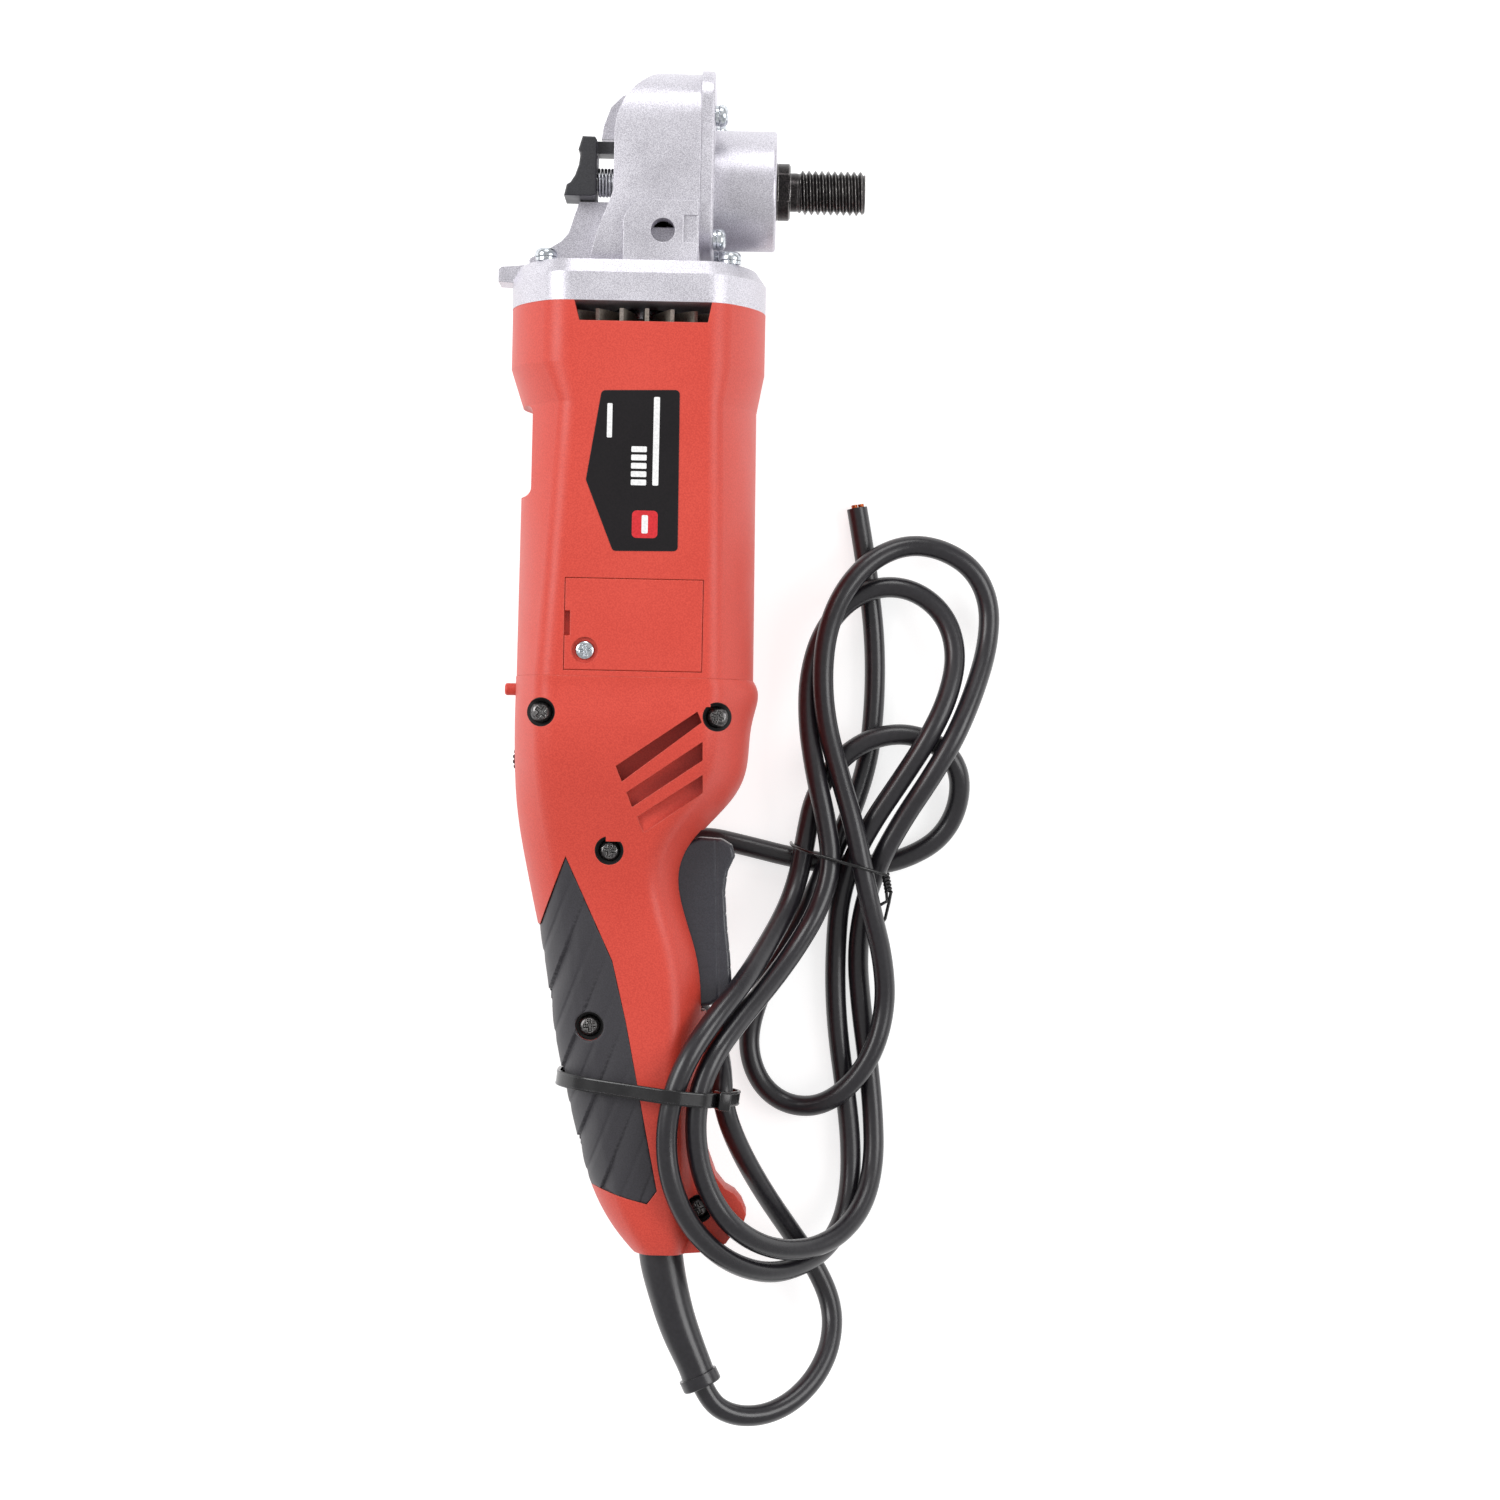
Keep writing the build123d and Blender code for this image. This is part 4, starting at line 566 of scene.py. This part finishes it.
# %% [markdown]
# The spindle ends in a right-handed 5/8 in thread with eleven turns to the inch. A thread is a height
# field on a cylinder: the radius at any point depends only on how far along the helix it is. So one
# fine grid of angles and stations makes the whole bar, with the flats for a spanner cut by a clamp.

# %% Spindle
PITCH = 25.4 / 11
THREAD_TOP, THREAD_ROOT = 7.93, 6.55
THREAD_FROM, THREAD_TO = 41.0, 65.4
spindle_y, spindle_z = 171.3, 41.0


def thread_radius(x, angle):
    """Radius of the threaded end in millimetres, at a station and an angle."""
    phase = (x / PITCH - angle / (2 * math.pi)) % 1.0
    flank = abs(phase - 0.5) * 2
    r = THREAD_TOP - (THREAD_TOP - THREAD_ROOT) * min(1.0, max(0.0, (flank - 0.1) / 0.75))
    run_out = min(1.0, (x - THREAD_FROM) / 1.6)
    r = THREAD_ROOT + 0.25 + (r - THREAD_ROOT - 0.25) * max(0.0, run_out)
    return min(r, THREAD_ROOT + 0.1 + max(0.0, THREAD_TO - x) * 0.95)


steps = [(-22.3, 4.4), (-21.8, 5.0), (-16.8, 5.0), (-16.8, 6.0), (-7.0, 6.0), (-7.0, 7.5), (14.9, 7.5),
         (14.9, 10.5), (33.4, 10.5), (33.9, 10.0), (34.0, 10.2), (37.9, 10.2), (38.4, 9.4), (38.4, 6.9),
         (40.6, 6.9), (41.0, 6.8)]
stations = [(x, r) for x, r in steps] + [(x, None) for x in np.arange(41.1, THREAD_TO + 0.001, 0.144)]
around = 96
points = []
for x, r in stations:
    for i in range(around):
        a = 2 * math.pi * i / around
        reach = thread_radius(x, a) if r is None else r
        z = reach * math.sin(a)
        if 33.95 < x < 38.3:
            z = max(-8.8, min(8.8, z))
        points.append(Vector((x, spindle_y + reach * math.cos(a), spindle_z + z)) * MM)
faces = grid_faces(len(stations), around, wrap=True)
faces += [list(range(around)), list(range(len(points) - around, len(points)))]
threaded_spindle = new_piece("threaded_spindle", points, faces, black_oxide,
                             body="output_spindle", crease=40.0)
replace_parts(threaded_spindle, "spindle")
print("spindle", len(points), "points")

# %% [markdown]
# The lock button is pushed out by a real coil spring round its steel pin. The wire is a tube along
# a helix. When the button goes in the coils close up; the piece gets a mesh of its own.

# %% Lock spring
def wire_tube(line, radius, sides=10, closed=False):
    """A tube of points and faces round a list of places, all in millimetres."""
    points, up = [], Vector((0.0, 0.0, 1.0))
    count = len(line)
    for i, place in enumerate(line):
        before = line[(i - 1) % count] if closed or i else place
        after = line[(i + 1) % count] if closed or i < count - 1 else place
        along = (Vector(after) - Vector(before)).normalized()
        side = along.cross(up)
        side = side.normalized() if side.length > 1e-4 else along.orthogonal().normalized()
        up = side.cross(along).normalized()
        for k in range(sides):
            a = 2 * math.pi * k / sides
            points.append((Vector(place) + radius * (math.cos(a) * side + math.sin(a) * up)) * MM)
    faces = grid_faces(count, sides, wrap=True)
    if closed:
        faces += [((count - 1) * sides + k, (count - 1) * sides + (k + 1) % sides, (k + 1) % sides, k)
                  for k in range(sides)]
    else:
        faces += [list(range(sides)), list(range(len(points) - sides, len(points)))]
    return points, faces


low, high = (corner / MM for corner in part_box("lock_spring"))
coil_y, coil_z = (low.y + high.y) / 2, (low.z + high.z) / 2
turns, wire_r = 4.5, 0.55
coil_r = (high.y - low.y) / 2 - wire_r
helix = []
for i in range(int(turns * 32) + 1):
    share = i / (turns * 32)
    a = 2 * math.pi * turns * share
    helix.append((low.x + wire_r + (high.x - low.x - 2 * wire_r) * share, coil_y + coil_r * math.cos(a),
                  coil_z + coil_r * math.sin(a)))
points, faces = wire_tube(helix, wire_r)
coil_spring = new_piece("coil_spring", points, faces, ground_steel, crease=60.0)
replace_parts(coil_spring, "lock_spring")
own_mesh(coil_spring)
print("spring of", turns, "turns")

# %% [markdown]
# Under each screw sits a split spring washer. It is a flat ring cut once, with its ends sprung apart,
# so it is swept from one side of the cut to the other with a small rise.

# %% Spring washers
def split_washer(centre, out, inner, outer, thick):
    """A ring with one cut, its ends lifted apart."""
    frame_of = Vector(out).to_track_quat("Z", "Y").to_matrix()
    points, count = [], 56
    for i in range(count + 1):
        share = i / count
        a = math.radians(8) + share * math.radians(344)
        lift = (share - 0.5) * 0.35
        for r, z in ((inner, 0.1), (inner, thick - 0.25), (outer - 0.15, thick - 0.2), (outer, thick - 0.35),
                     (outer, 0.25), (outer - 0.15, 0.1)):
            spot = Vector((r * math.cos(a), r * math.sin(a), z + 0.12 + lift * 0.5))
            points.append((Vector(centre) / MM + frame_of @ spot) * MM)
    faces = grid_faces(count + 1, 6, wrap=True)
    faces += [list(range(6)), list(range(len(points) - 6, len(points)))]
    return points, faces


for node, out in (("cover_washers", (1, 0, 0)), ("flange_washers", (0, 1, 0))):
    points, faces = [], []
    axis = out.index(1)
    for low, high in islands(node):
        seat = (low + high) / 2
        seat[axis] = low[axis]
        new_points, new_faces = split_washer(seat, out, 2.1, 3.7, 1.6)
        faces += [tuple(i + len(points) for i in face) for face in new_faces]
        points += new_points
    ring = new_piece("split_" + node, points, faces, bright_zinc, crease=30.0)
    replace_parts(ring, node)
print("washers split")

# %% [markdown]
# The soft grips are moulded with slanting steps, like shingles, that stop the hand sliding back.
# The CAD pad gives the outline. A copy is remeshed finely and each point of its outer face is sunk
# by a saw-tooth: deepest just behind a step and rising slowly to the next.

# %% Grips
STEP_PITCH = 14.7               # millimetres between the deep steps, across them
ACROSS = np.array([0.933, -0.36, 0.0])
STEP_DEPTH = 1.25


def step_sink(places):
    """How far points of the grip are sunk, in millimetres."""
    t = (places @ ACROSS - 2.6) / STEP_PITCH
    share = t - np.floor(t)
    main = np.clip(1.0 - share / 0.42, 0.0, 1.0) ** 1.5 * np.clip((1.0 - share) / 0.07, 0.0, 1.0)
    half = (share - 0.5) / 0.5
    ridge = 0.34 * np.clip(1.0 - half / 0.3, 0.0, 1.0) * np.clip(half / 0.06, 0.0, 1.0)
    edge_x = -45.6 - (places[:, 1] + 94.0) * 0.2335
    fade = 1.0 - np.clip((places[:, 0] - edge_x - 8.0) / 15.0, 0.0, 1.0)
    return STEP_DEPTH * main * fade + ridge * (0.3 + 0.7 * fade)


def shingled_pad(name, node):
    """A finely meshed copy of a grip with slanting steps in its outer face."""
    copy = bpy.data.objects.new(name, nodes[node].data.copy())
    bpy.context.scene.collection.objects.link(copy)
    remesh = copy.modifiers.new("even", "REMESH")
    remesh.mode = "VOXEL"
    remesh.voxel_size = 0.45 * MM
    settle = copy.modifiers.new("settle", "SMOOTH")
    settle.factor, settle.iterations = 0.5, 3
    made = bpy.data.meshes.new_from_object(copy.evaluated_get(bpy.context.evaluated_depsgraph_get()))
    copy.modifiers.clear()
    copy.data = made
    count = len(made.vertices)
    places, normals = np.empty(count * 3), np.empty(count * 3)
    made.vertices.foreach_get("co", places)
    made.vertices.foreach_get("normal", normals)
    places, normals = places.reshape(-1, 3) / MM, normals.reshape(-1, 3)
    outward = (places - np.array([-20.0, 0.0, 41.0])) * np.array([1.0, 0.0, 1.0])
    outward /= np.linalg.norm(outward, axis=1)[:, None]
    facing = np.clip((np.einsum("ij,ij->i", normals, outward) - 0.1) / 0.3, 0.0, 1.0)
    places -= normals * (step_sink(places) * facing)[:, None]
    made.vertices.foreach_set("co", (places * MM).ravel())
    made.update()
    made.shade_smooth()
    dress(copy, soft_grip)
    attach(copy, "housing")
    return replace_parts(copy, node)


shingled_right = shingled_pad("shingled_grip_right", "grip_pad_right")
shingled_pad("shingled_grip_left", "grip_pad_left")
print("grips:", len(shingled_right.data.vertices), "points each")

# %% [markdown]
# The trigger is one moulded paddle with soft edges, a polished front that the fingers pull, and fine
# drag lines across its sides. It gets the same treatment as the grips: a fine copy, smoothed until
# its edges are round, then shallow ribs pressed into the front and the faces.

# %% Trigger
# Millimetres: distance between ribs, the ends of the ribbed length, how deep ribs and border line go.
RIB_PITCH, RIB_START = 6.5, -66.0
RIB_REAR, RIB_FRONT, RIB_FADE = -116.0, -68.0, 4.0
RIB_HALF = 0.09                     # half a rib's width, as a share of the pitch
FRONT_DEPTH, SIDE_DEPTH, BORDER_DEPTH = 0.35, 0.07, 0.3
BORDER_X, BORDER_SLOPE, BORDER_Y, BORDER_HALF = 17.6, 0.035, -90.0, 0.45
SOFTEN_SHARE, SOFTEN_TIMES = 0.5, 9


def ramp(values, start, length):
    """Zero up to start, then rising to one over a length."""
    return np.clip((values - start) / length, 0.0, 1.0)


paddle = bpy.data.objects.new("ribbed_trigger", nodes["trigger"].data.copy())
bpy.context.scene.collection.objects.link(paddle)
even = paddle.modifiers.new("even", "REMESH")
even.mode = "VOXEL"
even.voxel_size = 0.4 * MM
soften = paddle.modifiers.new("soften", "SMOOTH")
soften.factor, soften.iterations = SOFTEN_SHARE, SOFTEN_TIMES
made = bpy.data.meshes.new_from_object(paddle.evaluated_get(bpy.context.evaluated_depsgraph_get()))
paddle.modifiers.clear()
paddle.data = made
count = len(made.vertices)
places, normals = np.empty(count * 3), np.empty(count * 3)
made.vertices.foreach_get("co", places)
made.vertices.foreach_get("normal", normals)
places, normals = places.reshape(-1, 3) / MM, normals.reshape(-1, 3)
x, y = places[:, 0], places[:, 1]
rib = np.clip(1.0 - np.abs(((y - RIB_START) / -RIB_PITCH % 1.0) - 0.5) / RIB_HALF, 0.0, 1.0)
span = ramp(y, RIB_REAR, RIB_FADE) * ramp(-y, -RIB_FRONT, RIB_FADE)
front = ramp(normals[:, 0], 0.5, 0.3)
flat = ramp(np.abs(normals[:, 2]), 0.7, 0.2)
border = np.clip(1.0 - np.abs(x - BORDER_X + BORDER_SLOPE * (y - BORDER_Y)) / BORDER_HALF, 0.0, 1.0)
sink = rib * span * (FRONT_DEPTH * front + SIDE_DEPTH * flat * ramp(x, 4.0, 4.0)) + BORDER_DEPTH * border * flat
places -= normals * sink[:, None]
made.vertices.foreach_set("co", (places * MM).ravel())
made.update()
made.shade_smooth()
dress(paddle, trigger_nylon)
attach(paddle, "trigger_lever")
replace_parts(paddle, "trigger")
print("trigger:", count, "points")

# %% [markdown]
# A bag tie holds the bundle of cord: a wire in a thin black sleeve, twisted into a knot with two
# short tails. Its line is the same smooth curve as the cord's, and the knot is two wires wound
# round each other.

# %% Bag tie
tie_wrap = smooth_line("tie_wrap", [(44.0, -63.5, 8.0), (43.8, -64.2, 17.0), (50.5, -66.6, 25.5),
                                    (61.0, -69.5, 27.6), (72.0, -72.2, 26.6), (79.0, -74.4, 21.5)], 0.62 * MM)
knot_line = [[], []]
for i in range(49):
    share = i / 48
    a = 2 * math.pi * 2.6 * share
    middle = Vector((78.6 + 1.4 * share, -74.0 - 6.8 * share, 21.0 - 2.5 * share))
    for strand, turn in enumerate((0.0, math.pi)):
        knot_line[strand].append(middle + 0.95 * Vector((math.cos(a + turn), 0.25 * math.sin(a + turn),
                                                         math.sin(a + turn))))
tail_ends = [[(79.4, -84.0, 18.0), (76.0, -86.0, 18.4), (72.6, -88.0, 18.6)],
             [(80.2, -84.5, 17.0), (79.0, -90.5, 15.0), (75.4, -96.0, 13.5)]]
points, faces = [], []
for strand in range(2):
    line = knot_line[strand] + [Vector(p) for p in tail_ends[strand]]
    new_points, new_faces = wire_tube(line, 0.6, sides=12)
    faces += [tuple(i + len(points) for i in face) for face in new_faces]
    points += new_points
new_piece("tie_knot", points, faces, tie_nylon, crease=50.0)
dress(tie_wrap, tie_nylon)
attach(tie_wrap, "housing")
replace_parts(tie_wrap, "twist_tie")
print("bag tie wound")

# %% [markdown]
# The shell screws sit in deep wells. The black sleeves in them are painted shade: each is a thin turned
# cup, down the wall of the well and across its floor to the screw, put where the recess is dark. A lathe
# does this with one profile spun round an axis.

# %% Turned pieces
def turned(profile, centre, out, segments=64):
    """Points and faces of a closed profile of (radius, height) spun round an axis. Millimetres."""
    frame_of = Vector(out).to_track_quat("Z", "Y").to_matrix()
    points = []
    for r, z in profile + profile[:1]:
        for i in range(segments):
            a = 2 * math.pi * i / segments
            points.append((Vector(centre) + frame_of @ Vector((r * math.cos(a), r * math.sin(a), z))) * MM)
    return points, grid_faces(len(profile) + 1, segments, wrap=True)


WELL_R, WELL_DEEP = 5.1, 6.0
shell_tree = BVHTree.FromObject(nodes["handle_shell_right"], bpy.context.evaluated_depsgraph_get())
points, faces = [], []
for low, high in islands("handle_screws"):
    head_top = high.z / MM
    seat = head_top - 2.4
    mouth = seat + WELL_DEEP
    profile = [(WELL_R - 0.03, mouth - seat - 0.7), (WELL_R - 0.03, 0.03), (1.8, 0.03), (1.8, 0.08),
               (WELL_R - 0.3, 0.12), (WELL_R - 0.25, mouth - seat - 0.7)]
    middle = ((low.x + high.x) / 2 / MM, (low.y + high.y) / 2 / MM, seat)
    new_points, new_faces = turned(profile, middle, (0, 0, 1))
    for place in new_points:                  # near the rounded edge the shell is lower than the well's mouth
        if place.z > (seat + 1.0) * MM:
            out = Vector((place.x - middle[0] * MM, place.y - middle[1] * MM, 0.0)).normalized()
            above = Vector((middle[0] * MM, middle[1] * MM, 0.2)) + out * (WELL_R + 0.4) * MM
            skin = shell_tree.ray_cast(above, Vector((0.0, 0.0, -1.0)))[0]
            if skin is not None:
                place.z = max((seat + 0.2) * MM, min(place.z, skin.z - 0.3 * MM))
    faces += [tuple(i + len(points) for i in face) for face in new_faces]
    points += new_points
# The sleeves are painted shade: black cups where the wells are dark.
new_piece("painted_shade_sleeves", points, faces, well_painted_shade, crease=40.0)
print("wells lined")

# %% [markdown]
# A nylon cable tie straps the cord to the handle. The strap is a flat band along a smooth closed
# line, so its section is a small rounded rectangle carried round the loop. The head is a plain
# rounded block.

# %% Cable tie
STRAP_LOOP = [(-25, 17.6), (4.5, 17.6), (14, 20.5), (26.2, 37.5), (26.1, 44), (16.4, 67.0), (13.9, 69.8),
              (5.0, 73.4), (1.2, 73.4), (-30.4, 64.2), (-38.0, 52), (-38.0, 31), (-33.2, 20.6)]
lean = math.radians(6)
strap_x = Vector((math.cos(lean), -math.sin(lean), 0.0))
strap_y = Vector((math.sin(lean), math.cos(lean), 0.0))
strap_origin = Vector((0.0, -152.2, 0.0))


def rounded_loop(corners, radius, steps=6):
    """A closed polygon with its corners rounded, as a list of places."""
    line, count = [], len(corners)
    for i in range(count):
        before, here, after = (Vector(corners[(i + k) % count]) for k in (-1, 0, 1))
        cut = min(radius, 0.45 * (before - here).length, 0.45 * (after - here).length)
        start, end = here + (before - here).normalized() * cut, here + (after - here).normalized() * cut
        for k in range(steps + 1):
            t = k / steps
            line.append(start * (1 - t) ** 2 + here * 2 * t * (1 - t) + end * t ** 2)
    return line


strap_line = rounded_loop(STRAP_LOOP, 7.0)
section = [(-2.6, 0.15), (-2.45, 0.02), (2.45, 0.02), (2.6, 0.15), (2.6, 1.0), (2.4, 1.18), (1.9, 1.2),
           (1.8, 1.08), (-1.8, 1.08), (-1.9, 1.2), (-2.4, 1.18), (-2.6, 1.0)]
points = []
for i, spot in enumerate(strap_line):
    along = (strap_line[(i + 1) % len(strap_line)] - strap_line[i - 1]).normalized()
    out_of_loop = Vector((along.y, -along.x))
    for across, rise in section:
        flat = spot + out_of_loop * rise
        points.append((strap_origin + strap_x * flat.x + Vector((0, 0, 1)) * flat.y + strap_y * across) * MM)
faces = grid_faces(len(strap_line), len(section), wrap=True)
count = len(points) - len(section)
faces += [(count + k, count + (k + 1) % len(section), (k + 1) % len(section), k) for k in range(len(section))]
tie_strap = new_piece("tie_strap", points, faces, tie_nylon, crease=40.0)
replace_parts(tie_strap, "cable_tie")


def rounded_block(name, centre, size, axes, radius, material):
    """A box with rounded edges, its sides along three given directions. Millimetres."""
    shaped = bmesh.new()
    bmesh.ops.create_cube(shaped, size=1.0)
    bmesh.ops.scale(shaped, vec=Vector(size), verts=shaped.verts)
    bmesh.ops.bevel(shaped, geom=shaped.edges[:], offset=radius, segments=4, profile=0.5, affect="EDGES")
    turn = Matrix([axes[0], axes[1], axes[2]]).transposed()
    points = [(Vector(centre) + turn @ v.co) * MM for v in shaped.verts]
    faces = [[v.index for v in face.verts] for face in shaped.faces]
    shaped.free()
    return new_piece(name, points, faces, material, crease=30.0)


tilt = math.radians(70)
head_up = strap_x * math.cos(tilt - math.pi / 2) + Vector((0, 0, 1)) * math.sin(tilt - math.pi / 2)
head_side = strap_y.cross(head_up)
head_middle = strap_origin + strap_x * 20.9 + Vector((0, 0, 61.4))
rounded_block("tie_head", head_middle, (4.6, 6.6, 7.4), (head_up, strap_y, -head_side), 0.8,
              tie_nylon)
print("cable tie of", len(strap_line), "stations")

# %% [markdown]
# The name label carries plain printed blocks and a bar instead of words. Each print is a very thin
# plate with round corners, a few hundredths of a millimetre above the film.

# %% Label print
label_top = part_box("name_label")[1].z / MM


def printed_plate(name, centre, width, height, material, corner=0.6, lean=0.0):
    """A thin rounded plate on the label. Sizes are in millimetres."""
    outline = []
    for cx, cy, start in ((1, 1, 0), (-1, 1, 90), (-1, -1, 180), (1, -1, 270)):
        for k in range(7):
            a = math.radians(start + 15 * k)
            outline.append(Vector((cx * (width / 2 - corner) + corner * math.cos(a),
                                   cy * (height / 2 - corner) + corner * math.sin(a), 0.0)))
    count = len(outline)
    points = []
    for z in (label_top - 0.03, label_top + 0.03):
        points += [Vector((centre[0] + p.x + lean * p.y, centre[1] + p.y, z)) * MM for p in outline]
    faces = [list(range(count)), list(range(count, 2 * count))]
    faces += [(k, (k + 1) % count, count + (k + 1) % count, count + k) for k in range(count)]
    return new_piece(name, points, faces, material, crease=30.0)


for k in range(5):
    printed_plate(f"print_block_{k}", (-12.8, 63.0 + 2.9 * k), 5.4, 2.0, label_white, corner=0.4)
printed_plate("print_line", (-6.9, 77.5), 2.1, 31.0, label_white, corner=0.5)
printed_plate("print_code", (-23.3, 84.5), 1.8, 12.0, label_white, corner=0.4)
printed_plate("print_badge", (-10.3, 48.4), 9.0, 9.6, label_red, corner=1.6)
printed_plate("print_badge_bar", (-10.3, 48.4), 2.2, 6.4, label_white, corner=0.5)
bpy.data.objects["print_badge_bar"].data.transform(Matrix.Translation((0, 0, 0.03 * MM)))
print("label printed, top at", round(label_top, 2))

# %% [markdown]
# The tool lies on a white table in soft white light from all round. A faint glow in the table's own
# material keeps it white in the picture, so only soft contact shadows are left.

# %% Table and light
table_z = cad_box[0].z - 0.2 * MM
table_mesh = bpy.data.meshes.new("table")
table_mesh.from_pydata([(-3, -3, table_z), (3, -3, table_z), (3, 3, table_z), (-3, 3, table_z)], [],
                       [(0, 1, 2, 3)])
table_top = bpy.data.objects.new("table", table_mesh)
bpy.context.scene.collection.objects.link(table_top)
white_table = bpy.data.materials.new("white_table")
white_table.use_nodes = True
paper = white_table.node_tree.nodes["Principled BSDF"]
paper.inputs["Roughness"].default_value = 0.7
paper.inputs["Emission Color"].default_value = (1.0, 1.0, 1.0, 1.0)
paper.inputs["Emission Strength"].default_value = 0.72
cloudy = cloud(white_table.node_tree, white_table.node_tree.nodes.new("ShaderNodeTexCoord").outputs["Object"], 6.0)
white_table.node_tree.links.new(mixed(white_table.node_tree, cloudy, (0.50, 0.50, 0.50, 1.0),
                                      (0.52, 0.52, 0.52, 1.0)), paper.inputs["Base Color"])
table_top.data.materials.append(white_table)

world = bpy.data.worlds.new("white_room")
world.use_nodes = True
world.node_tree.nodes["Background"].inputs["Color"].default_value = (1.0, 1.0, 1.0, 1.0)
world.node_tree.nodes["Background"].inputs["Strength"].default_value = 0.62
sheet = world.node_tree.nodes.new("ShaderNodeBackground")      # what the lens sees behind the table is pure white
sheet.inputs["Color"].default_value = (1.0, 1.0, 1.0, 1.0)
either = world.node_tree.nodes.new("ShaderNodeMixShader")
seen = world.node_tree.nodes.new("ShaderNodeLightPath")
world.node_tree.links.new(seen.outputs["Is Camera Ray"], either.inputs["Fac"])
world.node_tree.links.new(world.node_tree.nodes["Background"].outputs["Background"], either.inputs[1])
world.node_tree.links.new(sheet.outputs["Background"], either.inputs[2])
world.node_tree.links.new(either.outputs["Shader"], world.node_tree.nodes["World Output"].inputs["Surface"])
bpy.context.scene.world = world


def softbox(name, place, aim, size, power):
    """A large square lamp aimed at a point."""
    lamp = bpy.data.lights.new(name, "AREA")
    lamp.shape = "SQUARE"
    lamp.size = size
    lamp.energy = power
    holder = bpy.data.objects.new(name, lamp)
    holder.location = place
    holder.rotation_euler = (Vector(aim) - Vector(place)).to_track_quat("-Z", "Y").to_euler()
    bpy.context.scene.collection.objects.link(holder)
    return holder


softbox("left_softbox", (-1.3, 0.5, 1.3), (0.0, 0.0, 0.04), 0.9, 18.0)
softbox("right_softbox", (1.4, 0.1, 1.2), (0.0, 0.0, 0.04), 0.9, 12.0)
softbox("far_softbox", (0.1, 1.6, 1.0), (0.0, 0.0, 0.04), 0.7, 8.0)
bpy.context.scene.view_settings.view_transform = "Standard"
print("table and lights set")
